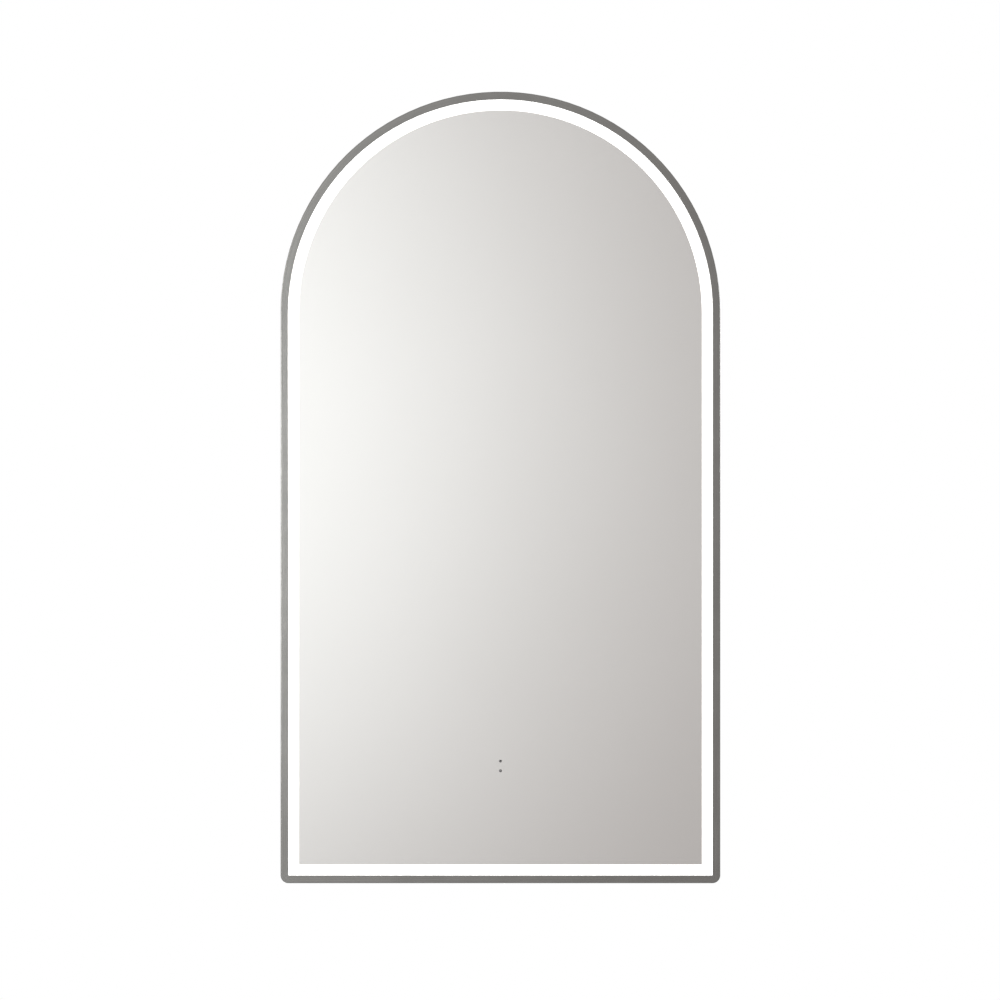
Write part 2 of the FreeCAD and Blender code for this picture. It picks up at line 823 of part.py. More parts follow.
def make_channel_bottom():
    """The channel along the foot, mitred at both ends."""
    body = new_body("channel_bottom")
    sketch = new_sketch(body, "-arch_radius", role="YZ_Plane")
    draw_polygon(sketch, [(f"-({depth})", f"bottom_z + {inset}") for inset, depth in CHANNEL_SECTION])
    pad(body, sketch, "frame_width")
    ends = [(draw_polygon, ([(f"{side}arch_radius", "bottom_z"),
                             (f"{side}arch_radius / 2", "bottom_z + arch_radius / 2"),
                             (f"{side}arch_radius", "bottom_z + arch_radius / 2")],)) for side in ("-", "")]
    cut(body, ends, "wall_gap", "frame_front")
    cut(body, corner_relief(), "wall_gap", "frame_front")
    cut(body, circles(rim_screw_spots()[-2:], "pilot_hole"), "panel_front", "flange_front")
    key_holes = [spot for index, spot in enumerate(corner_screw_spots()) if index % 2 == 1]
    cut(body, circles(key_holes, "pilot_hole"), "web_back", "web_front")
    return body


def make_corner_key(label, side):
    """A flat angle that joins the two channel pieces behind their web: side is "" right or "-" left."""
    body = new_body(label)
    near, far, tip = "key_inset", "key_inset + key_width", "key_leg"
    steps = [(near, near), (tip, near), (tip, far), (far, far), (far, tip), (near, tip)]
    corners = [(f"{side}(arch_radius - ({across}))", f"bottom_z + {along}") for across, along in steps]
    own_holes = [spot for spot in corner_screw_spots() if spot[0].startswith("-") == (side == "-")]
    outlines = [(draw_polygon, (corners,))] + circles(own_holes, "screw_hole")
    layer(body, outlines, "web_back - key_thickness", "web_back")
    return body


def make_corner_screws():
    master = screw("corner_screw", "web_back - key_thickness", "web_front + screw_end_past_thread / 2")
    return repeat("corner_screws", master, upright(corner_screw_spots()))


# ---------------------------------------------------------------- light strips

def make_led_strip_arch():
    """Flexible strip on the inner face of the channel wall, up both sides and over the arch."""
    body = new_body("led_strip_arch")
    outlines = [(draw_arch, ("strip_inset",)), (draw_arch, ("strip_face_inset",))]
    layer(body, outlines, "strip_back", "strip_back + strip_width")
    foot = (draw_box, ("0", "bottom_z", "frame_width", "2 * strip_end_gap"))
    cut(body, [foot], "strip_back", "strip_back + strip_width")
    return body


def make_led_strip_bottom():
    body = new_body("led_strip_bottom")
    outline = (draw_box, ("0", "bottom_z + strip_inset + strip_thickness / 2",
                          "frame_width - 2 * strip_end_gap", "strip_thickness"))
    layer(body, [outline], "strip_back", "strip_back + strip_width")
    return body


def pattern(body, kind, originals, axis_property, role, **formulas):
    """Repeat features along or about an axis of the body."""
    feature = body.newObject("PartDesign::" + kind, body.Label + "_pattern")
    feature.Originals = originals
    setattr(feature, axis_property, (origin_feature(body, role), [""]))
    bind(feature, **formulas)
    body.Tip = feature
    document.recompute()
    return feature


def make_led_chips_arch():
    """Light chips in an even row over the arch."""
    body = new_body("led_chips_arch")
    sketch = new_sketch(body, "strip_middle - chip_length / 2")
    half = "arch_radius - chip_inset - chip_height / 2"
    draw_box(sketch, half, "0", "chip_height", "chip_width")
    chip = pad(body, sketch, "chip_length")
    body.setExpression("Placement.Base.z", formula("arch_z"))
    turn = pattern(body, "PolarPattern", [chip], "Axis", "Y_Axis",
                   Occurrences="floor(pi * (arch_radius - chip_inset) / chip_pitch) + 1")
    turn.Angle = 180
    turn.Reversed = True
    document.recompute()
    return body


def leg_chips(body, side):
    """Light chips down one leg, starting one pitch below the arch: side is "" right or "-" left."""
    sketch = new_sketch(body, "strip_middle - chip_length / 2")
    middle = f"{side}(arch_radius - chip_inset - chip_height / 2)"
    draw_box(sketch, middle, "arch_z - chip_pitch", "chip_height", "chip_width")
    chip = pad(body, sketch, "chip_length")
    count = "floor((arch_z - bottom_z - strip_end_gap - chip_width) / chip_pitch)"
    row = pattern(body, "LinearPattern", [chip], "Direction", "Z_Axis",
                  Length=f"({count} - 1) * chip_pitch", Occurrences=count)
    row.Reversed = True
    document.recompute()


def make_led_chips_sides():
    body = new_body("led_chips_sides")
    leg_chips(body, "")
    leg_chips(body, "-")
    return body


def make_led_chips_bottom():
    body = new_body("led_chips_bottom")
    sketch = new_sketch(body, "strip_middle - chip_length / 2")
    count = "(floor((frame_width - 2 * strip_end_gap - chip_width) / chip_pitch) + 1)"
    first = f"-({count} - 1) * chip_pitch / 2"
    draw_box(sketch, first, "bottom_z + chip_inset + chip_height / 2", "chip_width", "chip_height")
    chip = pad(body, sketch, "chip_length")
    pattern(body, "LinearPattern", [chip], "Direction", "X_Axis",
            Length=f"({count} - 1) * chip_pitch", Occurrences=count)
    return body


def make_strip_connectors():
    """Two clamps at the left foot corner, one on the end of each strip."""
    body = new_body("strip_connectors")
    upper = (draw_box, ("-connector_x", "connector_z", "connector_height", "connector_length"))
    lower_x = "-(arch_radius - strip_end_gap + connector_length / 2)"
    lower_z = "bottom_z + strip_inset + connector_height / 2"
    lower = (draw_box, (lower_x, lower_z, "connector_length", "connector_height"))
    layer(body, [upper, lower], "connector_back", "connector_front")
    return body


# ---------------------------------------------------------------- back panel

def vent_spots(z):
    return [("0", f"{z} + {row} * vent_pitch - vent_spread / 2") for row in range(int(value("vent_count")))]


def rivet_spots():
    return [(f"({index} - (rivet_count - 1) / 2) * rivet_spacing", "rivet_z")
            for index in range(int(value("rivet_count")))]


def bumper_spots():
    return [(f"{side}(arch_radius - bumper_side_inset)", "bottom_z + bumper_above_bottom")
            for side in ("-", "")]


def driver_screw_spots():
    return [(f"driver_x {side} driver_ear_x", "driver_z") for side in ("-", "+")]


def terminal_screw_spots():
    ear = "(terminal_height + ear_length) / 2"
    return [("terminal_x", f"driver_z {side} {ear}") for side in ("-", "+")]


def cover_screw_spots():
    return [(f"terminal_x {across} cover_screw_x", f"driver_z {up} cover_screw_z")
            for across in ("-", "+") for up in ("-", "+")]


def make_back_panel():
    """Sheet metal back with vents, stiffening beads and an opening to the terminals."""
    body = new_body("back_panel")
    outline = (draw_arch, ("panel_inset", concentric_corner("panel_inset")))
    layer(body, [outline], "panel_back", "panel_front")
    bead_x = "(terminal_x + cover_length / 2 + bead_from_cover)"
    bead_z = "bottom_z + bead_above_bottom + bead_length / 2"
    beads = [(draw_box, (f"{side}{bead_x}", bead_z, "bead_width", "bead_length")) for side in ("-", "")]
    raised = layer(body, beads, "panel_back - bead_height", "panel_back")

    def on_bead_face(edge):
        box = edge.BoundBox
        return abs(box.YMin + value("panel_back - bead_height")) < 1e-6 and box.YLength < 1e-6

    slopes = body.newObject("PartDesign::Chamfer", "bead_slopes")
    slopes.Base = (raised, edges_where(raised.Shape, on_bead_face))
    bind(slopes, Size="bead_slope")
    document.recompute()
    for z in ("lower_vent_z", "upper_vent_z"):
        slots = [(draw_slot, (x, height, "vent_length", "vent_width")) for x, height in vent_spots(z)]
        cut(body, slots, "panel_back", "panel_front")
    cut(body, circles(rim_screw_spots(), "screw_hole"), "panel_back", "panel_front")
    cut(body, circles(rivet_spots(), "rivet_shank + 2 * thread_gap"), "panel_back", "panel_front")
    cut(body, circles(bumper_spots(), "bumper_pin + 2 * thread_gap"), "panel_back", "panel_front")
    ear_screws = driver_screw_spots() + terminal_screw_spots()
    cut(body, circles(ear_screws, "screw_hole"), "panel_back", "panel_front")
    cut(body, circles(cover_screw_spots(), "pilot_hole"), "panel_back", "panel_front")
    access = (draw_box, ("terminal_x", "driver_z", "access_length", "access_height"))
    cut(body, [access], "panel_back", "panel_front")
    return body


def make_frame_clips():
    """Angle clips welded inside the frame; each foot holds the panel forwards."""
    master = new_body("frame_clip")
    outside = "(frame_wall + weld_gap)"
    foot_back = "panel_back - clip_thickness"
    foot = (draw_box, (f"-(clip_reach + {outside}) / 2", "0", f"clip_reach - {outside}", "clip_width"))
    layer(master, [foot], foot_back, "panel_back")
    leg = (draw_box, (f"-({outside} + clip_thickness / 2)", "0", "clip_thickness", "clip_width"))
    layer(master, [leg], f"{foot_back} - clip_leg", foot_back)
    cut(master, circles([("-rim_screw_inset", "0")], "screw_hole"), foot_back, "panel_back")
    return repeat("frame_clips", master, rim_spots("0"))


def make_panel_screws():
    master = screw("panel_screw", "panel_back - clip_thickness", "flange_front + screw_end_past_thread")
    return repeat("panel_screws", master, upright(rim_screw_spots()))


# ---------------------------------------------------------------- wall rail, hanger and bumpers

def rail_sketch(body, length, outline):
    """An upright section (depth, height) at the left end of a rail."""
    sketch = new_sketch(body, f"-{length} / 2", role="YZ_Plane")
    draw_polygon(sketch, [(f"-({depth})", z) for depth, z in outline])
    return sketch


def make_wall_rail():
    """Folded rail screwed to the wall; its upper edge stands off the wall and carries the mirror."""
    body = new_body("wall_rail")
    hook_front = "rail_hook_depth + rail_thickness"
    pad(body, rail_sketch(body, "rail_length", [
        ("0", "-rail_below_screws"),
        ("rail_thickness", "-rail_below_screws"),
        ("rail_thickness", "rail_above_screws - rail_thickness"),
        (hook_front, "rail_above_screws - rail_thickness"),
        (hook_front, "rail_top"),
        ("rail_hook_depth", "rail_top"),
        ("rail_hook_depth", "rail_above_screws"),
        ("0", "rail_above_screws"),
    ]), "rail_length")
    slots = [(draw_slot, (f"{side}rail_slot_spacing / 2", "0", "rail_slot_length", "rail_hole"))
             for side in ("-", "")]
    cut(body, slots, "0", "rail_thickness")
    holes = circles([(f"{side}rail_hole_spacing / 2", "0") for side in ("-", "")], "rail_hole")
    cut(body, holes, "0", "rail_thickness")
    return body


def make_hanger_rail():
    """Folded rail riveted to the back panel; its lip hangs down behind the wall rail."""
    body = new_body("hanger_rail")
    web_top = "rail_top + hanger_thickness"
    hook_end = "rail_above_screws + hook_end_gap"
    plate_back = "panel_back - hanger_thickness"
    pad(body, rail_sketch(body, "hanger_length", [
        ("panel_back", "rail_top"),
        ("panel_back", f"{web_top} + hanger_plate_height"),
        (plate_back, f"{web_top} + hanger_plate_height"),
        (plate_back, web_top),
        ("hook_back", web_top),
        ("hook_back", hook_end),
        ("hook_back + hanger_thickness", hook_end),
        ("hook_back + hanger_thickness", "rail_top"),
    ]), "hanger_length")
    cut(body, circles(rivet_spots(), "rivet_shank + 2 * thread_gap"), plate_back, "panel_back")
    return body


def make_hanger_rivets():
    """Blind rivets: a domed head behind the plate and a swollen tail in front of the panel."""
    seat = "panel_back - hanger_thickness"
    master = turned_body("hanger_rivet", [
        ("0", f"{seat} - rivet_head_height"),
        ("rivet_head / 4", f"{seat} - rivet_head_height"),
        ("rivet_head / 2", f"{seat} - rivet_head_height / 4"),
        ("rivet_head / 2", seat),
        ("rivet_shank / 2", seat),
        ("rivet_shank / 2", "panel_front"),
        ("rivet_tail / 2", "panel_front"),
        ("rivet_tail_end / 2", "panel_front + rivet_tail_height"),
        ("0", "panel_front + rivet_tail_height"),
    ])
    return repeat("hanger_rivets", master, upright(rivet_spots()))


def make_wall_bumpers():
    """Rubber feet that keep the lower edge of the mirror parallel to the wall."""
    master = turned_body("wall_bumper", [
        ("0", "0"),
        ("bumper_diameter / 2 - bumper_bevel", "0"),
        ("bumper_diameter / 2", "bumper_bevel"),
        ("bumper_diameter / 2", "panel_back"),
        ("bumper_pin / 2", "panel_back"),
        ("bumper_pin / 2", "panel_front"),
        ("bumper_barb / 2", "panel_front"),
        ("bumper_pin / 4", "panel_front + bumper_barb_length"),
        ("0", "panel_front + bumper_barb_length"),
    ])
    return repeat("wall_bumpers", master, upright(bumper_spots()))


# ---------------------------------------------------------------- heater and foam

def make_demister_pad():
    """Heating film stuck to the back of the mirror at face height."""
    body = new_body("demister_pad")
    layer(body, [(draw_box, ("0", "heater_z + heater_height / 2", "heater_width", "heater_height"))],
          "heater_back", "film_back")
    return body


def make_heater_tab():
    """Moulded cap over the joints between the heating film and its lead."""
    body = new_body("heater_tab")
    outline = (draw_box, ("heater_tab_x", "heater_tab_low + heater_tab_height / 2",
                          "heater_tab_width", "heater_tab_height"))
    layer(body, [outline], "heater_back - heater_tab_thickness", "heater_back")
    return body


def make_support_pads():
    """Foam blocks that press the glass forwards, away from the heating film."""
    body = new_body("support_pads")
    spots = [(f"{side}(arch_radius - foam_side_inset)", "bottom_z + foam_above_bottom") for side in ("-", "")]
    spots += [rim_spot(angle, "foam_arch_inset") for angle in ("foam_arch_angle", "(180 - foam_arch_angle)")]
    blocks = [(draw_box, (*spot, "foam_size", "foam_size")) for spot in spots]
    layer(body, blocks, "panel_front", "film_back - foam_gap")
    return body


# ---------------------------------------------------------------- driver

def post_spots():
    across = "(driver_length / 2 - driver_post_inset)"
    up = "(driver_height / 2 - driver_post_inset)"
    return [(f"driver_x {a} {across}", f"driver_z {b} {up}") for a in ("-", "+") for b in ("-", "+")]


def standoff_spots():
    across = "(driver_board_length / 2 - standoff)"
    up = "(driver_board_height / 2 - standoff)"
    return [(f"driver_x {a} {across}", f"driver_z {b} {up}") for a in ("-", "+") for b in ("-", "+")]


def drill(body, role, wall, across, along, lead_size, reverse=False):
    """Drill a housing wall for a lead, inwards from its outer face."""
    sketch = new_sketch(body, wall, role=role)
    draw_circle(sketch, across, along, f"{lead_size} + 2 * lead_hole_gap")
    pocket(body, sketch, "drill_depth", reverse)


def make_driver_case():
    """Moulded tray with a mounting ear at each end and a post in each corner."""
    body = new_body("driver_case")
    middle = ("driver_x", "driver_z")
    ears = (draw_box, (*middle, "driver_length + 2 * ear_length", "driver_height / 2"))
    layer(body, [ears], "panel_front", "panel_front + ear_thickness")
    layer(body, [(draw_box, (*middle, "driver_length", "driver_height"))], "panel_front", "driver_rim")
    room = (draw_box, (*middle, "driver_length - 2 * driver_wall", "driver_height - 2 * driver_wall"))
    cut(body, [room], "driver_floor", "driver_rim")
    layer(body, circles(post_spots(), "driver_post"), "panel_front", "driver_rim")
    cut(body, circles(post_spots(), "pilot_hole"), "driver_floor", "driver_rim")
    cut(body, circles(driver_screw_spots(), "pilot_hole"), "panel_front", "panel_front + ear_thickness")
    layer(body, circles(standoff_spots(), "standoff"), "driver_floor", "driver_board_back")
    right, left = "driver_x + driver_length / 2", "driver_x - driver_length / 2"
    low, high = "driver_z - driver_height / 2", "driver_z + driver_height / 2"
    depth = "-socket_depth_middle"
    drill(body, "YZ_Plane", right, depth, "driver_z", "mains_lead")
    drill(body, "YZ_Plane", left, depth, "driver_z", "thin_lead", reverse=True)
    drill(body, "XY_Plane", low, "sensor_lead_x", depth, "thin_lead", reverse=True)
    drill(body, "XY_Plane", high, "heater_lead_x", depth, "thin_lead")
    return body


def make_driver_lid():
    body = new_body("driver_lid")
    plate = (draw_box, ("driver_x", "driver_z", "driver_length", "driver_height"))
    holes = circles(post_spots(), "screw_hole")
    slots = [(draw_slot, ("driver_x", f"driver_z + {row} * vent_pitch", "vent_length", "vent_width"))
             for row in (-1, 0, 1)]
    layer(body, [plate] + holes + slots, "driver_rim", "driver_rim + driver_lid_thickness")
    return body


def make_driver_board():
    body = new_body("driver_board")
    plate = (draw_box, ("driver_x", "driver_z", "driver_board_length", "driver_board_height"))
    layer(body, [plate], "driver_board_back", "driver_board_front")
    return body


def make_driver_transformer():
    """Wound core on the board: a flat core block round a narrower winding."""
    body = new_body("driver_transformer")
    middle = ("driver_x + transformer_x", "driver_z")
    winding = (draw_box, (*middle, "winding_length", "transformer_height"))
    layer(body, [winding], "driver_board_front", "driver_board_front + winding_depth")
    core = (draw_box, (*middle, "transformer_length", "core_height"))
    layer(body, [core], "driver_board_front", "driver_board_front + transformer_depth")
    return body


def make_driver_capacitors():
    body = new_body("driver_capacitors")
    spots = [("driver_x + capacitor_x", f"driver_z + ({row} - (capacitor_count - 1) / 2) * capacitor_pitch")
             for row in range(int(value("capacitor_count")))]
    cans = circles(spots, "capacitor_diameter")
    layer(body, cans, "driver_board_front", "driver_board_front + capacitor_depth")
    return body


def make_driver_sockets():
    """Plug-in sockets on the board, one beside each lead hole."""
    body = new_body("driver_sockets")
    spots = [("driver_x + socket_x", "driver_z"), ("driver_x - socket_x", "driver_z"),
             ("sensor_lead_x", "driver_z - socket_z"), ("heater_lead_x", "driver_z + socket_z")]
    blocks = [(draw_box, (*spot, "socket_length", "socket_height")) for spot in spots]
    layer(body, blocks, "driver_board_front", "driver_board_front + socket_depth")
    return body


def make_driver_screws():
    """Screws through the back panel into the ears of the driver and of the terminal box."""
    master = screw("driver_screw", "panel_back", "panel_front + ear_thickness + screw_end_past_thread")
    return repeat("driver_screws", master, upright(driver_screw_spots() + terminal_screw_spots()))


def make_lid_screws():
    """Screws driven from the front into the posts of the driver case."""
    seat = "driver_rim + driver_lid_thickness"
    master = screw("lid_screw", seat, "driver_rim - 2 * screw_shank", head="+")
    return repeat("lid_screws", master, upright(post_spots()))


# ---------------------------------------------------------------- terminals and earth

def make_terminal_box():
    """Moulded box, open towards the opening in the back panel, with an ear above and below."""
    body = new_body("terminal_box")
    middle = ("terminal_x", "driver_z")
    ears = (draw_box, (*middle, "terminal_height / 2", "terminal_height + 2 * ear_length"))
    layer(body, [ears], "panel_front", "panel_front + ear_thickness")
    layer(body, [(draw_box, (*middle, "terminal_length", "terminal_height"))],
          "panel_front", "terminal_floor + terminal_wall")
    room = (draw_box, (*middle, "terminal_length - 2 * terminal_wall", "terminal_height - 2 * terminal_wall"))
    cut(body, [room], "panel_front", "terminal_floor")
    cut(body, circles(terminal_screw_spots(), "pilot_hole"), "panel_front", "panel_front + ear_thickness")
    left, right = "terminal_x - terminal_length / 2", "terminal_x + terminal_length / 2"
    depth = "-socket_depth_middle"
    drill(body, "YZ_Plane", left, depth, "driver_z - mains_lead_offset", "mains_lead", reverse=True)
    drill(body, "YZ_Plane", right, depth, "driver_z", "thin_lead")
    return body


def pole_spots():
    """Places of the clamp screws: two rows, one screw in each row for each pole."""
    pitch = "terminal_block_length / terminal_poles"
    row_offset = "terminal_block_height / 4"
    middle = "terminal_x + terminal_block_x"
    return [(f"{middle} + ({pole} - (terminal_poles - 1) / 2) * {pitch}", f"driver_z {side} {row_offset}")
            for pole in range(int(value("terminal_poles"))) for side in ("-", "+")]


def make_terminal_block():
    body = new_body("terminal_block")
    block = (draw_box, ("terminal_x + terminal_block_x", "driver_z",
                        "terminal_block_length", "terminal_block_height"))
    layer(body, [block], "terminal_block_back", "terminal_floor")
    cut(body, circles(pole_spots(), "clamp_screw + 2 * thread_gap"),
        "terminal_block_back", "terminal_block_back + clamp_screw_hole_depth")
    return body


def make_clamp_screws():
    """Slotted screws sunk in the terminal block."""
    head_back = "terminal_block_back + clamp_screw / 4"
    master = turned_body("clamp_screw_body", [
        ("0", head_back),
        ("clamp_screw / 2", head_back),
        ("clamp_screw / 2", "terminal_block_back + clamp_screw_hole_depth"),
        ("0", "terminal_block_back + clamp_screw_hole_depth"),
    ])
    slot = (draw_box, ("0", "0", "2 * clamp_screw", "screw_recess_width"))
    cut(master, [slot], head_back, f"{head_back} + screw_recess_width")
    return repeat("clamp_screws", master, upright(pole_spots()))


def rounded_plate(sketch, x, z, width, height, radius):
    """A centred rectangle whose four corners are rounded."""
    half_x, half_z, r = value(width) / 2, value(height) / 2, value(radius)
    mid_x, mid_z = value(x), value(z)
    left, right, low, high = mid_x - half_x, mid_x + half_x, mid_z - half_z, mid_z + half_z
    base = add_line(sketch, (left + r, low), (right - r, low))
    corner_1 = add_arc(sketch, right - r, low + r, r, 270, 360)
    side_1 = add_line(sketch, (right, low + r), (right, high - r))
    corner_2 = add_arc(sketch, right - r, high - r, r, 0, 90)
    top = add_line(sketch, (right - r, high), (left + r, high))
    corner_3 = add_arc(sketch, left + r, high - r, r, 90, 180)
    side_2 = add_line(sketch, (left, high - r), (left, low + r))
    corner_4 = add_arc(sketch, left + r, low + r, r, 180, 270)
    join_tangent(sketch, base, corner_1, side_1, corner_2, top, corner_3, side_2, corner_4)
    across, up = f"(({width}) / 2 - {radius})", f"(({height}) / 2 - {radius})"
    signs = ((corner_1, "+", "-"), (corner_2, "+", "+"), (corner_3, "-", "+"), (corner_4, "-", "-"))
    for corner, side, rise in signs:
        pin(sketch, corner, 3, f"{x} {side} {across}", f"{z} {rise} {up}")
    for corner in (corner_2, corner_3, corner_4):
        sketch.addConstraint(Sketcher.Constraint("Equal", corner_1, corner))
    constrain(sketch, "Radius", corner_1, text=radius)


def make_access_cover():
    """Cover over the terminals, with the hole for the cable grommet."""
    body = new_body("access_cover")
    plate = (rounded_plate, ("terminal_x", "driver_z", "cover_length", "cover_height", "cover_corner_radius"))
    holes = circles(cover_screw_spots(), "screw_hole")
    grommet = (draw_circle, ("grommet_middle", "driver_z", "grommet_body + 2 * grommet_groove_gap"))
    layer(body, [plate, grommet] + holes, "cover_back", "panel_back")
    return body


def make_cover_screws():
    master = screw("cover_screw", "cover_back", "panel_front + screw_end_past_thread")
    return repeat("cover_screws", master, upright(cover_screw_spots()))


def make_cable_grommet():
    """Rubber ring in the cover that the supply cable passes through."""
    body = turned_body("cable_grommet", [
        ("cable_hole / 2", "cover_back - grommet_flange_thickness"),
        ("grommet_body / 2 + grommet_flange", "cover_back - grommet_flange_thickness"),
        ("grommet_body / 2 + grommet_flange", "cover_back"),
        ("grommet_body / 2", "cover_back"),
        ("grommet_body / 2", "panel_back"),
        ("grommet_body / 2 + grommet_flange", "panel_back"),
        ("grommet_body / 2 + grommet_flange", "panel_back + grommet_flange_thickness"),
        ("cable_hole / 2", "panel_back + grommet_flange_thickness"),
    ])
    move_to(body, x="grommet_middle", z="driver_z")
    return body


def make_earth_stud():
    """Threaded stud welded to the back panel."""
    body = turned_body("earth_stud", [
        ("0", "panel_front"),
        ("earth_base / 2", "panel_front"),
        ("earth_base / 2", "earth_tag_back"),
        ("earth_stud / 2", "earth_tag_back"),
        ("earth_stud / 2", "panel_front + earth_stud_length"),
        ("0", "panel_front + earth_stud_length"),
    ])
    move_to(body, x="earth_x", z="earth_z")
    return body


def make_earth_tag():
    """Ring tag on the stud; its barrel points down and grips the earth lead."""
    body = new_body("earth_tag")
    ring = (draw_circle, ("earth_x", "earth_z", "earth_tag"))
    layer(body, [ring], "earth_tag_back", "earth_tag_back + earth_tag_thickness")
    neck_length = "(earth_tag / 2 + earth_barrel_length)"
    neck = (draw_box, ("earth_x", f"earth_z - {neck_length} / 2", "earth_barrel", neck_length))
    layer(body, [neck], "earth_tag_back", "earth_tag_back + earth_tag_thickness")
    barrel = (draw_box, ("earth_x", "earth_z - earth_tag / 2 - earth_barrel_length / 2",
                         "earth_barrel", "earth_barrel_length"))
    layer(body, [barrel], "earth_tag_back", "lead_depth + earth_barrel / 2")
    hole = (draw_circle, ("earth_x", "earth_z", "earth_stud + 2 * thread_gap"))
    cut(body, [hole], "earth_tag_back", "earth_tag_back + earth_tag_thickness")
    return body


def make_earth_nut():
    body = new_body("earth_nut")
    corner = "earth_nut_across_flats / sqrt(3)"
    corners = [(f"earth_x + {corner} * cos({60 * step} deg)", f"earth_z + {corner} * sin({60 * step} deg)")
               for step in range(6)]
    hole = (draw_circle, ("earth_x", "earth_z", "earth_stud + 2 * thread_gap"))
    back = "earth_tag_back + earth_tag_thickness"
    layer(body, [(draw_polygon, (corners,)), hole], back, f"{back} + earth_nut_height")
    return body


# ---------------------------------------------------------------- touch sensor

def make_sensor_case():
    """Shallow case stuck behind the two dots, open towards the glass."""
    body = new_body("sensor_case")
    layer(body, [(draw_box, ("0", "sensor_z", "sensor_width", "sensor_height"))], "sensor_back", "film_back")
    room = (draw_box, ("0", "sensor_z", "sensor_width - 2 * sensor_wall", "sensor_height - 2 * sensor_wall"))
    cut(body, [room], "sensor_floor", "film_back")
    inset = "(sensor_wall + board_gap + standoff / 2)"
    posts = [(f"{a}(sensor_width / 2 - {inset})", f"sensor_z {b} (sensor_height / 2 - {inset})")
             for a in ("-", "") for b in ("-", "+")]
    layer(body, circles(posts, "standoff"), "sensor_floor", "sensor_board_front - board_thickness")
    drill(body, "XY_Plane", "sensor_z + sensor_height / 2", "0", "-sensor_lead_depth", "thin_lead")
    return body


def make_sensor_board():
    body = new_body("sensor_board")
    inset = "(sensor_wall + board_gap)"
    plate = (draw_box, ("0", "sensor_z", f"sensor_width - 2 * {inset}", f"sensor_height - 2 * {inset}"))
    layer(body, [plate], "sensor_board_front - board_thickness", "sensor_board_front")
    return body


def make_sensor_pins():
    """Light guides from the sensor board to the two dots in the coating."""
    body = new_body("sensor_pins")
    layer(body, circles(dot_spots(), "dot_pin"), "sensor_board_front", "glass_back")
    return body


# ---------------------------------------------------------------- leads

def make_mains_lead():
    """From the terminal block to the driver: both ends plug in."""
    box, case = "(terminal_x - terminal_length / 2)", "(driver_x + driver_length / 2)"
    low = "driver_z - mains_lead_offset"
    return lead("mains_lead", [
        ("terminal_x + terminal_block_x - terminal_block_length / 2", "socket_depth_middle", low),
        (f"{box} - ({box} - {case}) / 3", "socket_depth_middle", low),
        (f"{case} + ({box} - {case}) / 3", "socket_depth_middle", "driver_z"),
        ("driver_x + driver_board_length / 2", "socket_depth_middle", "driver_z"),
    ], "mains_lead")


def make_strip_lead():
    """From the driver down behind the left side of the channel, then forwards to the strip."""
    return lead("strip_lead", [
        ("driver_x - driver_board_length / 2", "socket_depth_middle", "driver_z"),
        ("driver_x - driver_length / 2 - ear_length", "socket_depth_middle", "driver_z"),
        ("strip_lead_x", "lead_depth", "driver_z"),
        ("strip_lead_x", "lead_depth", "connector_z"),
        ("-connector_x", "lead_depth", "connector_z"),
        ("-connector_x", "connector_back", "connector_z"),
    ], "thin_lead")


def make_strip_jumper():
    """Short lead round the foot corner that joins the two strips."""
    along = "bottom_z + strip_inset + connector_height / 2"
    return lead("strip_jumper", [
        ("-connector_x", "strip_middle", "connector_z - connector_length / 2"),
        ("-connector_x", "strip_middle", along),
        ("-(arch_radius - strip_end_gap + connector_length)", "strip_middle", along),
    ], "thin_lead")


SENSOR_TOP = "(sensor_z + sensor_height / 2)"
DRIVER_FOOT = "(driver_z - driver_height / 2)"


def up_to_driver(share):
    """A height between the top of the sensor case and the foot of the driver case."""
    return f"{SENSOR_TOP} + {share} * ({DRIVER_FOOT} - {SENSOR_TOP})"


def make_sensor_lead():
    """From the sensor board up to the driver, held flat to the panel by a clip on the way."""
    return lead("sensor_lead", [
        ("0", "sensor_lead_depth", f"{SENSOR_TOP} - sensor_wall - board_gap"),
        ("0", "sensor_lead_depth", up_to_driver("sensor_lead_rise_share")),
        ("sensor_lead_x", "lead_depth", up_to_driver("sensor_lead_landing_share")),
        ("sensor_lead_x", "lead_depth", up_to_driver("sensor_lead_leaving_share")),
        ("sensor_lead_x", "socket_depth_middle", up_to_driver("sensor_lead_entry_share")),
        ("sensor_lead_x", "socket_depth_middle", "driver_z - driver_board_height / 2"),
    ], "thin_lead")


def make_heater_lead():
    """From the cap on the heating film down to the driver."""
    case_top = "(driver_z + driver_height / 2)"
    drop = f"(heater_tab_low - {case_top})"
    tab_middle = "heater_back - heater_tab_thickness / 2"
    return lead("heater_lead", [
        ("heater_tab_x", tab_middle, "heater_tab_low"),
        ("heater_tab_x", tab_middle, f"{case_top} + heater_lead_drop_share * {drop}"),
        ("heater_lead_x", "socket_depth_middle", f"{case_top} + heater_lead_entry_share * {drop}"),
        ("heater_lead_x", "socket_depth_middle", "driver_z + driver_board_height / 2"),
    ], "thin_lead")


def make_earth_lead():
    """From the terminal block to the tag on the earth stud."""
    return lead("earth_lead", [
        ("terminal_x + terminal_block_x + terminal_block_length / 2", "socket_depth_middle", "driver_z"),
        ("earth_x - lead_turn", "socket_depth_middle", "driver_z"),
        ("earth_x", "lead_depth", "driver_z + lead_turn / 2"),
        ("earth_x", "lead_depth", "earth_z - earth_tag / 2 - earth_barrel_length"),
    ], "thin_lead")


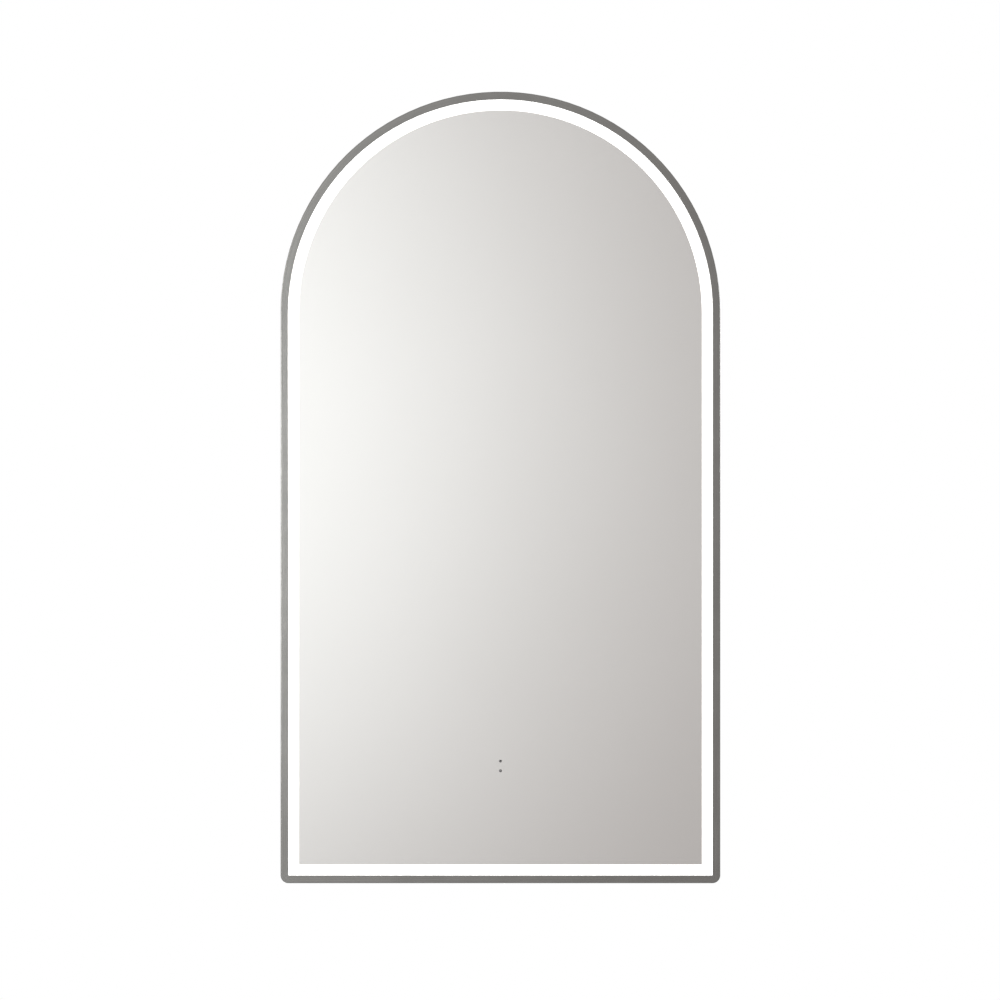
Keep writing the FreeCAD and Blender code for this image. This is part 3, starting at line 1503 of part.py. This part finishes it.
def make_lead_clips():
    """Moulded saddles on the back panel that hold the strip lead and the sensor lead."""
    master = new_body("lead_clip")
    width = "thin_lead + 2 * lead_clip_wall"
    block = (draw_box, ("0", "0", width, "lead_clip_length"))
    layer(master, [block], "panel_front", "lead_depth + thin_lead / 2 + lead_clip_wall")
    sketch = new_sketch(master, "lead_clip_length / 2", role="XY_Plane")
    draw_circle(sketch, "0", "-lead_depth", "thin_lead + 2 * lead_clip_gap")
    pocket(master, sketch, "lead_clip_length")
    spots = [("strip_lead_x", f"driver_z - (driver_z - connector_z) * {step} / 4") for step in (1, 2, 3)]
    spots.append(("sensor_lead_x", up_to_driver("sensor_lead_clip_share")))
    return repeat("lead_clips", master, upright(spots))


# ---------------------------------------------------------------- the whole mirror

def make_nodes():
    return [
        make_wall_rail(),
        make_outer_frame(),
        make_frame_clips(),
        make_glass_gasket(),
        make_mirror_glass(),
        make_silver_coating(),
        make_safety_film(),
        make_light_diffuser(),
        make_channel_arch(),
        make_channel_bottom(),
        make_corner_key("corner_key_left", "-"),
        make_corner_key("corner_key_right", ""),
        make_corner_screws(),
        make_led_strip_arch(),
        make_led_strip_bottom(),
        make_led_chips_arch(),
        make_led_chips_sides(),
        make_led_chips_bottom(),
        make_strip_connectors(),
        make_back_panel(),
        make_panel_screws(),
        make_hanger_rail(),
        make_hanger_rivets(),
        make_wall_bumpers(),
        make_demister_pad(),
        make_heater_tab(),
        make_support_pads(),
        make_driver_case(),
        make_driver_lid(),
        make_driver_board(),
        make_driver_transformer(),
        make_driver_capacitors(),
        make_driver_sockets(),
        make_driver_screws(),
        make_lid_screws(),
        make_terminal_box(),
        make_terminal_block(),
        make_clamp_screws(),
        make_access_cover(),
        make_cover_screws(),
        make_cable_grommet(),
        make_earth_stud(),
        make_earth_tag(),
        make_earth_nut(),
        make_sensor_case(),
        make_sensor_board(),
        make_sensor_pins(),
        make_mains_lead(),
        make_strip_lead(),
        make_strip_jumper(),
        make_sensor_lead(),
        make_heater_lead(),
        make_earth_lead(),
        make_lead_clips(),
    ]


def check(nodes):
    """Stop if any feature failed or any piece is empty or broken."""
    for feature in document.Objects:
        if "Invalid" in feature.State or "Error" in feature.State:
            raise RuntimeError(f"{feature.Label} did not recompute: {feature.State}")
    for node in nodes:
        if node.Shape.isNull() or not node.Shape.isValid() or not node.Shape.Solids:
            raise RuntimeError(f"{node.Label} has no valid solid")


def main():
    write_sheet()
    nodes = make_nodes()
    document.recompute()
    check(nodes)
    os.makedirs("parts", exist_ok=True)
    for node in nodes:
        node.Shape.exportStep(f"parts/{node.Label}.step")
        print(f"{node.Label}: {len(node.Shape.Solids)} solids, {node.Shape.Volume:.0f} mm3")


main()
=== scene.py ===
"""Looks, lights and camera for the lighted arch mirror, dressed round its CAD frame."""
import math

import bpy
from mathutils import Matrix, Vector


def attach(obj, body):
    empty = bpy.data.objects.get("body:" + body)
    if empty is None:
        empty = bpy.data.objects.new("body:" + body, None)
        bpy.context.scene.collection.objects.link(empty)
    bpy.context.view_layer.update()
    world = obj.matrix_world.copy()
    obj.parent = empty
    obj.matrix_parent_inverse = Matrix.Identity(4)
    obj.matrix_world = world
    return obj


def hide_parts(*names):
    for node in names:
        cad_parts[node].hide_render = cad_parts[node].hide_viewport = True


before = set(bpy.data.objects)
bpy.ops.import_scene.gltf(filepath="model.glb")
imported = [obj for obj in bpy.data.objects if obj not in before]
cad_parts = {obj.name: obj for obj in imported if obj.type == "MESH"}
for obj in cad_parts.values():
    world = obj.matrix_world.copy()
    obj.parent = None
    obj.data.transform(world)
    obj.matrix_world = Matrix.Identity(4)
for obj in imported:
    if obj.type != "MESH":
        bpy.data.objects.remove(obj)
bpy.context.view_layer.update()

MM = 0.001

# Sizes that the looks share with the part, in metres
ARCH_RADIUS = 250 * MM
ARCH_Z = 10 * MM
BOTTOM_Z = -640 * MM
FRAME_FRONT = 42 * MM
GLASS_FRONT = 39.5 * MM
GLASS_BACK = 35.5 * MM
GLASS_INSET = 2.6 * MM
GLASS_CORNER = 6.4 * MM
COATING_AIR = 0.05 * MM     # keeps the pane off the coating, so that the two faces don't fight
ARRIS = 0.6 * MM

# What the photograph's frame takes in
SENSOR_WIDTH = 36           # of the camera, in millimetres
PHOTO_WIDTH = 1136.9 * MM   # across the picture, at the front of the frame
CAMERA_X = -0.5 * MM
CAMERA_Z = -204.3 * MM
CAMERA_DISTANCE = 4.27      # from the lens to the front of the frame

# Steps that curves are cut into
ARC_STEPS = 180
CORNER_STEPS = 8
FLOOR_SIDES = 96

# Brushing of the frame, in noise cells to the metre
BRUSH_ACROSS = 2600.0
BRUSH_ALONG = 9.0

# How an edge is told from a flat face, by how well its rounded normal agrees with its flat one
BEVEL_SAMPLES = 4
FLAT_AGREES = 0.995
EDGE_AGREES = 0.8

# How much lighter than its coat the flecks and the rubbed edges of paint are
FLECK_GAIN = 1.8
RUBBED_GAIN = 2.2

# The floor's own light, as (share of its radius, strength) where it begins to grow and where it ends
FLOOR_Z = -1640 * MM
FLOOR_RADIUS = 5.5
FLOOR_SEEN = ((0.2, 0.3), (0.9, 1.0))           # what the camera sees
FLOOR_MIRRORED = ((0.4, 0.0), (0.95, 0.45))     # what glass and metal reflect

# A soft box fades from its core to its edge, both as shares of its width from the middle
LIGHT_CORE = 0.1
LIGHT_EDGE = 0.5
LIGHT_PEAK = 2.2            # strength of the core

# The studio that the object reflects; places and limits are parts of a unit arrow towards them
GLOW_PLACE = (-0.155, 0.0267)   # the brightest place, x and z
GLOW_REACH = (0.178, 0.162)     # how far the glow spreads in x and z
GLOW_FALL = 2.6                 # how sharply it ends
SURROUND_FADE = (2.0, 6.0)      # reaches of the glow between which its grey surround gives way
PALE_BELOW = (-0.3, 0.2)        # z between which the pale lower part gives way to the walls
PALE_BEHIND = (0.1, 0.8)        # y between which the walls turn pale, behind the object
GLOW_TONE = (1.17, 1.18, 1.165, 1)
SURROUND_TONE = (0.412, 0.385, 0.375, 1)
WALL_TONE = (0.62, 0.62, 0.615, 1)
PALE_TONE = (0.87, 0.87, 0.865, 1)
WHITE = (1, 1, 1, 1)

# Sockets of the mix node by what it mixes: share, first and second, then the result
MIX_INPUTS = {"FLOAT": (0, 2, 3), "RGBA": (0, 6, 7)}
MIX_OUTPUT = {"FLOAT": 0, "RGBA": 2}


# ---------------------------------------------------------------- camera

def make_camera():
    data = bpy.data.cameras.new("camera")
    data.sensor_width = SENSOR_WIDTH
    data.lens = SENSOR_WIDTH * CAMERA_DISTANCE / PHOTO_WIDTH
    camera = bpy.data.objects.new("camera", data)
    camera.location = (CAMERA_X, -FRAME_FRONT - CAMERA_DISTANCE, CAMERA_Z)
    camera.rotation_euler = (math.radians(90), 0, 0)
    bpy.context.scene.collection.objects.link(camera)
    bpy.context.scene.camera = camera


# ---------------------------------------------------------------- node helpers

class Tree:
    """Short calls for adding nodes to a node tree."""

    def __init__(self, tree):
        self.tree = tree
        self.tree.nodes.clear()

    def node(self, kind, settings=None, **inputs):
        node = self.tree.nodes.new("ShaderNode" + kind)
        for name, setting in (settings or {}).items():
            setattr(node, name, setting)
        for name, source in inputs.items():
            self.feed(node.inputs[name.replace("_", " ")], source)
        return node

    def feed(self, socket, source):
        if isinstance(source, bpy.types.NodeSocket):
            self.tree.links.new(source, socket)
        else:
            socket.default_value = source

    def math(self, operation, first, second=0.0, third=0.0):
        node = self.tree.nodes.new("ShaderNodeMath")
        node.operation = operation
        for socket, source in zip(node.inputs, (first, second, third)):
            self.feed(socket, source)
        return node.outputs[0]

    def length(self, x, y):
        """The length of a flat arrow."""
        squares = self.math("ADD", self.math("MULTIPLY", x, x), self.math("MULTIPLY", y, y))
        return self.math("SQRT", squares)

    def range(self, source, low, high, to_low, to_high):
        """Map a range of values to another, smoothly and without going past its ends."""
        node = self.node("MapRange", {"interpolation_type": "SMOOTHSTEP"}, Value=source)
        for name, size in zip(("From Min", "From Max", "To Min", "To Max"), (low, high, to_low, to_high)):
            node.inputs[name].default_value = size
        return node.outputs[0]

    def ramp(self, source, *stops):
        node = self.node("ValToRGB", Fac=source)
        node.color_ramp.interpolation = "EASE"
        points = node.color_ramp.elements
        while len(points) < len(stops):
            points.new(1.0)
        for point, (place, colour) in zip(points, stops):
            point.position = place
            point.color = (*colour, 1)
        return node.outputs[0]

    def here(self):
        """The object's own coordinates in metres."""
        return self.node("TexCoord").outputs["Object"]

    def place(self, scale):
        """The object's own coordinates, stretched."""
        return self.node("Mapping", Vector=self.here(), Scale=scale).outputs[0]

    def noise(self, scale, detail=3.0, rough=0.5, vector=None):
        """Noise of so many cells to the metre."""
        where = vector or self.here()
        return self.node("TexNoise", Vector=where, Scale=scale, Detail=detail, Roughness=rough).outputs[0]

    def cells(self, scale, output="Color", vector=None):
        """Uneven cells, so many to the metre: their colours, or the distance from their middles."""
        where = vector or self.here()
        return self.node("TexVoronoi", Vector=where, Scale=scale).outputs[output]

    def bands(self, direction, scale, distortion):
        """Soft stripes along one direction."""
        settings = {"wave_type": "BANDS", "bands_direction": direction}
        wave = self.node("TexWave", settings, Vector=self.here(), Scale=scale, Distortion=distortion)
        return wave.outputs[1]

    def mix(self, kind, share, first, second):
        """Mix two numbers or two colours."""
        node = self.node("Mix", {"data_type": kind})
        for socket, source in zip(MIX_INPUTS[kind], (share, first, second)):
            self.feed(node.inputs[socket], source)
        return node.outputs[MIX_OUTPUT[kind]]

    def blend(self, share, first, second):
        return self.mix("RGBA", share, first, second)

    def soft_edge(self, radius):
        """A normal that rounds sharp edges over a small radius."""
        return self.node("Bevel", {"samples": BEVEL_SAMPLES}, Radius=radius).outputs[0]

    def edge_mask(self, radius):
        """High on edges, nothing on flat faces."""
        rounded = self.soft_edge(radius)
        flat = self.node("NewGeometry").outputs["Normal"]
        dot = self.node("VectorMath", {"operation": "DOT_PRODUCT"})
        self.feed(dot.inputs[0], rounded)
        self.feed(dot.inputs[1], flat)
        return self.range(dot.outputs["Value"], FLAT_AGREES, EDGE_AGREES, 0.0, 1.0)

    def bump(self, height, depth, strength=1.0, normal=None):
        node = self.node("Bump", Height=height, Distance=depth, Strength=strength)
        if normal is not None:
            self.feed(node.inputs["Normal"], normal)
        return node.outputs[0]


MATERIALS = {}


def material(slot, build, **sockets):
    """Make a material for one slot of the record; build returns what varies over its surface."""
    made = bpy.data.materials.new("look_" + slot)
    made.use_nodes = True
    tree = Tree(made.node_tree)
    shader = tree.node("BsdfPrincipled")
    tree.node("OutputMaterial", Surface=shader.outputs[0])
    for name, source in {**sockets, **build(tree)}.items():
        tree.feed(shader.inputs[name.replace("_", " ")], source)
    MATERIALS[slot] = made
    return made


# ---------------------------------------------------------------- metals

def along_frame(tree):
    """Coordinates that follow the frame: inset from its outline, depth, and length along it."""
    x, y, z = tree.node("SeparateXYZ", Vector=tree.here()).outputs
    rise = tree.math("SUBTRACT", z, ARCH_Z)
    above = tree.math("MAXIMUM", rise, 0.0)
    reach = tree.length(x, above)
    side_inset = tree.math("SUBTRACT", ARCH_RADIUS, reach)
    foot_inset = tree.math("SUBTRACT", z, BOTTOM_Z)
    inset = tree.math("MINIMUM", side_inset, foot_inset)
    angle = tree.math("ARCTAN2", above, x)
    turned = tree.math("ADD", tree.math("MULTIPLY", angle, ARCH_RADIUS), tree.math("MINIMUM", rise, 0.0))
    on_foot = tree.math("LESS_THAN", foot_inset, side_inset)
    return inset, y, tree.mix("FLOAT", on_foot, turned, x)


def brushed(tree):
    """Long fine streaks that follow the bend of the frame."""
    inset, depth, length = along_frame(tree)
    where = tree.node("CombineXYZ", X=tree.math("MULTIPLY", inset, BRUSH_ACROSS),
                      Y=tree.math("MULTIPLY", depth, BRUSH_ACROSS),
                      Z=tree.math("MULTIPLY", length, BRUSH_ALONG))
    return tree.noise(1.0, 4.0, 0.6, where.outputs[0])


def frame_metal(tree):
    """Satin gunmetal: fine brushing along the bend, faint mottle and paler edges."""
    streak = brushed(tree)
    mottle = tree.noise(38.0, 4.0, 0.55)
    edge = tree.edge_mask(0.35 * MM)
    tone = tree.ramp(streak, (0.25, (0.282, 0.281, 0.273)), (0.75, (0.362, 0.360, 0.349)))
    clouded = tree.blend(tree.range(mottle, 0.35, 0.7, 0.0, 0.35), tone, (0.268, 0.267, 0.259, 1))
    worn = tree.blend(tree.math("MULTIPLY", edge, 0.35), clouded, (0.46, 0.455, 0.44, 1))
    rough = tree.range(streak, 0.2, 0.8, 0.13, 0.20)
    normal = tree.bump(streak, 0.02 * MM, 0.5, tree.soft_edge(0.3 * MM))
    return {"Base Color": worn, "Roughness": rough, "Normal": normal}


def galvanised(tree):
    """Zinc with a soft spangle."""
    spangle = tree.cells(230.0, vector=tree.place((1, 1, 1.3)))
    grain = tree.noise(900.0, 3.0)
    tone = tree.ramp(spangle, (0.1, (0.53, 0.545, 0.56)), (0.9, (0.60, 0.615, 0.63)))
    dulled = tree.blend(tree.range(tree.noise(22.0), 0.45, 0.75, 0.0, 0.3), tone, (0.49, 0.50, 0.51, 1))
    rough = tree.range(tree.noise(60.0), 0.3, 0.7, 0.36, 0.46)
    return {"Base Color": dulled, "Roughness": rough,
            "Normal": tree.bump(grain, 0.02 * MM, 0.35, tree.soft_edge(0.3 * MM))}


def plated(tree):
    """Bright plated steel of the screws, finely mottled."""
    fine = tree.noise(2400.0, 4.0)
    tone = tree.ramp(tree.noise(260.0), (0.3, (0.50, 0.50, 0.49)), (0.7, (0.68, 0.68, 0.665)))
    return {"Base Color": tone, "Roughness": tree.range(fine, 0.3, 0.7, 0.22, 0.36),
            "Normal": tree.bump(fine, 0.01 * MM, 0.4, tree.soft_edge(0.15 * MM))}


def rivet_metal(tree):
    fine = tree.noise(1800.0, 3.0)
    tone = tree.ramp(fine, (0.3, (0.60, 0.61, 0.62)), (0.7, (0.72, 0.73, 0.74)))
    return {"Base Color": tone, "Roughness": tree.range(fine, 0.3, 0.7, 0.30, 0.44),
            "Normal": tree.bump(fine, 0.01 * MM, 0.4, tree.soft_edge(0.2 * MM))}


def brass(tree):
    stain = tree.noise(420.0, 4.0)
    tone = tree.ramp(stain, (0.3, (0.56, 0.42, 0.18)), (0.7, (0.74, 0.58, 0.27)))
    return {"Base Color": tone, "Roughness": tree.range(stain, 0.3, 0.7, 0.24, 0.42),
            "Normal": tree.soft_edge(0.15 * MM)}


def painted(dark, light, rough_low, rough_high):
    """Powder coat: fine orange peel, slow change of tone, and rubbed edges."""
    def build(tree):
        peel = tree.noise(1500.0, 2.0, 0.4)
        slow = tree.noise(5.0, 3.0, 0.45)
        speck = tree.cells(5200.0, "Distance")
        tone = tree.ramp(slow, (0.3, dark), (0.7, light))
        fleck_tone = (*[channel * FLECK_GAIN for channel in light], 1)
        flecked = tree.blend(tree.range(speck, 0.12, 0.0, 0.0, 0.4), tone, fleck_tone)
        edge = tree.edge_mask(0.3 * MM)
        rubbed_tone = (*[min(1.0, channel * RUBBED_GAIN) for channel in light], 1)
        rubbed = tree.blend(tree.math("MULTIPLY", edge, 0.3), flecked, rubbed_tone)
        return {"Base Color": rubbed, "Roughness": tree.range(peel, 0.3, 0.7, rough_low, rough_high),
                "Normal": tree.bump(peel, 0.05 * MM, 0.5, tree.soft_edge(0.3 * MM))}
    return build


# ---------------------------------------------------------------- glass and light

def silvering(tree):
    """Mirror silver, with the faintest drift in its tone."""
    drift = tree.noise(3.0, 2.0)
    tone = tree.ramp(drift, (0.3, (0.955, 0.952, 0.945)), (0.7, (0.97, 0.968, 0.962)))
    wipe = tree.noise(14.0, 3.0, 0.5, tree.place((1, 1, 0.35)))
    return {"Base Color": tone, "Roughness": tree.range(wipe, 0.5, 0.8, 0.005, 0.02)}


def clear_glass(tree):
    """Float glass: clear, and flat but for a very slow wave."""
    wave = tree.noise(5.0, 1.0)
    return {"Normal": tree.bump(wave, 0.004 * MM, 0.3)}


def opal(tree):
    """Milky plastic lit from behind."""
    grain = tree.noise(1400.0, 3.0)
    tone = tree.ramp(grain, (0.3, (0.86, 0.86, 0.85)), (0.7, (0.93, 0.93, 0.92)))
    return {"Base Color": tone, "Roughness": tree.range(grain, 0.3, 0.7, 0.42, 0.56)}


def light_chip(tree):
    """Yellow phosphor under a clear face."""
    grain = tree.noise(2600.0, 3.0)
    return {"Base Color": tree.ramp(grain, (0.3, (0.86, 0.68, 0.22)), (0.7, (0.95, 0.80, 0.36)))}


# ---------------------------------------------------------------- plastics, rubber and the rest

def moulded(dark, light, rough_low, rough_high):
    """Moulded plastic or rubber with a fine spark-eroded grain."""
    def build(tree):
        grain = tree.noise(2200.0, 3.0)
        slow = tree.noise(40.0, 3.0)
        tone = tree.ramp(slow, (0.3, dark), (0.7, light))
        return {"Base Color": tone, "Roughness": tree.range(grain, 0.3, 0.7, rough_low, rough_high),
                "Normal": tree.bump(grain, 0.02 * MM, 0.5, tree.soft_edge(0.25 * MM))}
    return build


def film(tree):
    """Grey safety film with a faint slanting weave."""
    weave = tree.bands("DIAGONAL", 900.0, 1.5)
    tone = tree.ramp(weave, (0.2, (0.30, 0.31, 0.32)), (0.8, (0.38, 0.39, 0.40)))
    return {"Base Color": tone, "Roughness": tree.range(weave, 0.2, 0.8, 0.45, 0.6)}


def heater_film(tree):
    """Amber film with pale heating tracks across it."""
    track = tree.bands("Z", 28.0, 0.0)
    tone = tree.ramp(track, (0.42, (0.62, 0.36, 0.09)), (0.5, (0.70, 0.66, 0.58)))
    return {"Base Color": tone, "Roughness": tree.range(tree.noise(700.0), 0.3, 0.7, 0.28, 0.42)}


def foam(tree):
    cells = tree.cells(1400.0, "Distance")
    tone = tree.ramp(cells, (0.1, (0.10, 0.10, 0.105)), (0.6, (0.21, 0.21, 0.215)))
    return {"Base Color": tone, "Roughness": tree.range(cells, 0.1, 0.6, 0.95, 0.85),
            "Normal": tree.bump(cells, 0.2 * MM, 0.8)}


def circuit_board(tree):
    """Green solder mask with paler tracks."""
    tracks = tree.cells(160.0, "Distance", tree.place((1, 1, 0.4)))
    tone = tree.ramp(tracks, (0.38, (0.015, 0.11, 0.045)), (0.46, (0.05, 0.23, 0.09)))
    return {"Base Color": tone, "Roughness": tree.range(tracks, 0.3, 0.5, 0.42, 0.3)}


def strip(tree):
    """White flexible board with scattered copper pads."""
    pads = tree.cells(130.0, "Distance")
    tone = tree.ramp(pads, (0.10, (0.66, 0.45, 0.22)), (0.16, (0.86, 0.86, 0.84)))
    return {"Base Color": tone, "Roughness": tree.range(tree.noise(900.0), 0.3, 0.7, 0.4, 0.55)}


def yellow_tape(tree):
    wrap = tree.bands("X", 90.0, 0.6)
    tone = tree.ramp(wrap, (0.2, (0.62, 0.47, 0.05)), (0.8, (0.83, 0.68, 0.14)))
    return {"Base Color": tone, "Roughness": tree.range(wrap, 0.2, 0.8, 0.3, 0.45)}


def make_materials():
    material("frame_metal", frame_metal, Metallic=1.0)
    material("silvering", silvering, Metallic=1.0)
    material("clear_glass", clear_glass, Base_Color=(0.996, 0.995, 0.993, 1), Roughness=0.0,
             Transmission_Weight=1.0, IOR=1.5)
    material("film", film)
    material("opal", opal, Emission_Color=(1.0, 0.995, 0.985, 1), Emission_Strength=1.6)
    material("light_chip", light_chip, Emission_Color=(1.0, 0.97, 0.9, 1), Emission_Strength=2.0,
             Roughness=0.3)
    material("white_metal", painted((0.74, 0.74, 0.73), (0.80, 0.80, 0.79), 0.35, 0.5))
    material("panel_steel", painted((0.125, 0.127, 0.13), (0.138, 0.140, 0.143), 0.46, 0.58))
    material("zinc_steel", galvanised, Metallic=1.0)
    material("screw_steel", plated, Metallic=1.0)
    material("rivet_metal", rivet_metal, Metallic=1.0)
    material("brass_part", brass, Metallic=1.0)
    material("black_rubber", moulded((0.018, 0.018, 0.019), (0.035, 0.035, 0.036), 0.58, 0.78))
    material("white_plastic", moulded((0.74, 0.73, 0.70), (0.80, 0.79, 0.77), 0.38, 0.52))
    material("black_plastic", moulded((0.022, 0.022, 0.024), (0.040, 0.040, 0.042), 0.40, 0.55))
    material("clear_plastic", moulded((0.14, 0.14, 0.145), (0.19, 0.19, 0.195), 0.22, 0.32))
    material("foam", foam)
    material("heater_film", heater_film)
    material("circuit_board", circuit_board)
    material("strip", strip)
    material("yellow_tape", yellow_tape)
    material("capacitor", moulded((0.015, 0.017, 0.03), (0.03, 0.034, 0.06), 0.25, 0.35))
    material("grey_cable", moulded((0.20, 0.20, 0.205), (0.27, 0.27, 0.275), 0.42, 0.55))
    material("white_cable", moulded((0.70, 0.70, 0.68), (0.80, 0.80, 0.78), 0.40, 0.52))
    material("earth_cable", moulded((0.10, 0.30, 0.05), (0.62, 0.60, 0.06), 0.40, 0.52))


def dress_frame():
    """Give every CAD piece the material of its slot."""
    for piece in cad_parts.values():
        for slot in piece.material_slots:
            slot.material = MATERIALS[slot.material.name.split(".")[0]]


# ---------------------------------------------------------------- pieces

def arch_outline(inset, corner):
    """The arch outline, moved in: from the right foot corner, over the top, to the left foot corner."""
    radius = ARCH_RADIUS - inset
    foot = BOTTOM_Z + inset
    points = []
    for step in range(CORNER_STEPS + 1):
        angle = math.radians(-90 + 90 * step / CORNER_STEPS)
        points.append((radius - corner + corner * math.cos(angle), foot + corner + corner * math.sin(angle)))
    for step in range(ARC_STEPS + 1):
        angle = math.pi * step / ARC_STEPS
        points.append((radius * math.cos(angle), ARCH_Z + radius * math.sin(angle)))
    for step in range(CORNER_STEPS + 1):
        angle = math.radians(180 + 90 * step / CORNER_STEPS)
        points.append((-radius + corner + corner * math.cos(angle), foot + corner + corner * math.sin(angle)))
    return points


def lofted(name, rings):
    """A closed solid through rings of (outline, depth), capped at both ends."""
    count = len(rings[0][0])
    points = [(x, -depth, z) for outline, depth in rings for x, z in outline]
    faces = [tuple(reversed(range(count)))]
    for ring in range(len(rings) - 1):
        start, above = ring * count, (ring + 1) * count
        for step in range(count):
            after = (step + 1) % count
            faces.append((start + step, start + after, above + after, above + step))
    last = (len(rings) - 1) * count
    faces.append(tuple(last + step for step in range(count)))
    mesh = bpy.data.meshes.new(name)
    mesh.from_pydata(points, [], faces)
    mesh.validate()
    piece = bpy.data.objects.new(name, mesh)
    bpy.context.scene.collection.objects.link(piece)
    return piece


def make_glass_pane():
    """The mirror's glass with polished arrises."""
    full = arch_outline(GLASS_INSET, GLASS_CORNER)
    eased = arch_outline(GLASS_INSET + ARRIS, GLASS_CORNER - ARRIS)
    back = GLASS_BACK + COATING_AIR
    rings = [(eased, back), (full, back + ARRIS), (full, GLASS_FRONT - ARRIS), (eased, GLASS_FRONT)]
    pane = lofted("glass_pane", rings)
    pane.data.materials.append(MATERIALS["clear_glass"])
    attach(pane, "mirror_unit")
    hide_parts("mirror_glass")


# ---------------------------------------------------------------- stage and lights

def own_light(tree, reach, start, end):
    """The floor's own light at a reach from its middle."""
    (start_share, start_strength), (end_share, end_strength) = start, end
    low, high = start_share * FLOOR_RADIUS, end_share * FLOOR_RADIUS
    return tree.range(reach, low, high, start_strength, end_strength)


def make_floor():
    """A pale floor with painted light: its own glow grows white towards its edge, as a studio sweep does, and
    is weaker in reflections than to the camera.
    """
    angles = [2 * math.pi * step / FLOOR_SIDES for step in range(FLOOR_SIDES)]
    ring = [(FLOOR_RADIUS * math.cos(angle), FLOOR_RADIUS * math.sin(angle), FLOOR_Z) for angle in angles]
    mesh = bpy.data.meshes.new("floor")
    mesh.from_pydata(ring, [], [tuple(range(FLOOR_SIDES))])
    floor = bpy.data.objects.new("floor", mesh)
    bpy.context.scene.collection.objects.link(floor)

    def pale(tree):
        x, y = tree.node("SeparateXYZ", Vector=tree.here()).outputs[:2]
        reach = tree.length(x, y)
        slow = tree.noise(2.0, 4.0)
        # painted light: the floor's own glow, growing towards its edge, stronger to the camera than in
        # reflections
        seen_white = own_light(tree, reach, *FLOOR_SEEN)
        mirrored_white = own_light(tree, reach, *FLOOR_MIRRORED)
        seen = tree.node("LightPath").outputs["Is Camera Ray"]
        gain = tree.math("SUBTRACT", seen_white, mirrored_white)
        return {"Base Color": tree.ramp(slow, (0.3, (0.60, 0.60, 0.595)), (0.7, (0.61, 0.61, 0.605))),
                "Emission Strength": tree.math("MULTIPLY_ADD", seen, gain, mirrored_white)}
    floor.data.materials.append(material("floor", pale, Roughness=0.7, Emission_Color=WHITE))


def make_light(name, place, target, width, height, power):
    """A soft box: an area light that fades towards its edges."""
    data = bpy.data.lights.new(name, "AREA")
    data.shape = "RECTANGLE"
    data.size = width
    data.size_y = height
    data.energy = power
    data.use_nodes = True
    tree = Tree(data.node_tree)
    place_on_box = tree.node("NewGeometry").outputs["Parametric"]
    across, up = tree.node("SeparateXYZ", Vector=place_on_box).outputs[:2]
    from_middle = tree.length(tree.math("SUBTRACT", across, 0.5), tree.math("SUBTRACT", up, 0.5))
    strength = tree.range(from_middle, LIGHT_CORE, LIGHT_EDGE, LIGHT_PEAK, 0.0)
    emission = tree.node("Emission", Strength=strength)
    tree.node("OutputLight", Surface=emission.outputs[0])
    light = bpy.data.objects.new(name, data)
    light.location = place
    light.rotation_euler = (Vector(target) - Vector(place)).to_track_quat("-Z", "Y").to_euler()
    bpy.context.scene.collection.objects.link(light)


def make_world():
    """White to the camera; to light and reflections a soft studio, brightest in front and to the left."""
    world = bpy.data.worlds.new("studio")
    bpy.context.scene.world = world
    world.use_nodes = True
    tree = Tree(world.node_tree)
    x, y, z = tree.node("SeparateXYZ", Vector=tree.node("TexCoord").outputs["Generated"]).outputs
    off_x = tree.math("DIVIDE", tree.math("SUBTRACT", x, GLOW_PLACE[0]), GLOW_REACH[0])
    off_z = tree.math("DIVIDE", tree.math("SUBTRACT", z, GLOW_PLACE[1]), GLOW_REACH[1])
    away = tree.length(off_x, off_z)
    ahead = tree.math("LESS_THAN", y, 0.0)
    fading = tree.math("MULTIPLY", tree.math("POWER", away, GLOW_FALL), -1.0)
    glow = tree.math("MULTIPLY", ahead, tree.math("EXPONENT", fading))
    wide = tree.range(away, *SURROUND_FADE, 0.0, 1.0)
    low = tree.range(z, *PALE_BELOW, 1.0, 0.0)
    behind = tree.range(y, *PALE_BEHIND, 0.0, 1.0)
    pale = tree.math("MAXIMUM", low, behind)
    around = tree.blend(pale, WALL_TONE, PALE_TONE)
    far = tree.blend(wide, SURROUND_TONE, around)
    tone = tree.blend(glow, far, GLOW_TONE)
    studio = tree.node("Background", Color=tone, Strength=1.0)
    white = tree.node("Background", Color=WHITE, Strength=1.0)
    camera_ray = tree.node("LightPath").outputs["Is Camera Ray"]
    mixed = tree.node("MixShader")
    for socket, source in zip(mixed.inputs, (camera_ray, studio.outputs[0], white.outputs[0])):
        tree.feed(socket, source)
    tree.node("OutputWorld", Surface=mixed.outputs[0])


def make_studio():
    make_world()
    make_floor()
    make_light("key_light", place=(-0.9, -2.5, -0.2), target=(0, 0, -0.2), width=0.7, height=1.5, power=17)
    make_light("side_light", place=(-1.7, -0.5, -0.1), target=(0, 0, -0.15), width=1.4, height=1.6, power=12)
    make_light("right_light", place=(4.6, -0.6, 0.3), target=(0, 0, 0), width=1.0, height=1.4, power=40)
    make_light("back_light", place=(1.2, 2.2, 0.9), target=(0, 0, -0.2), width=2.2, height=2.0, power=14)
    bpy.context.scene.view_settings.view_transform = "Standard"


make_camera()
make_materials()
dress_frame()
make_glass_pane()
make_studio()
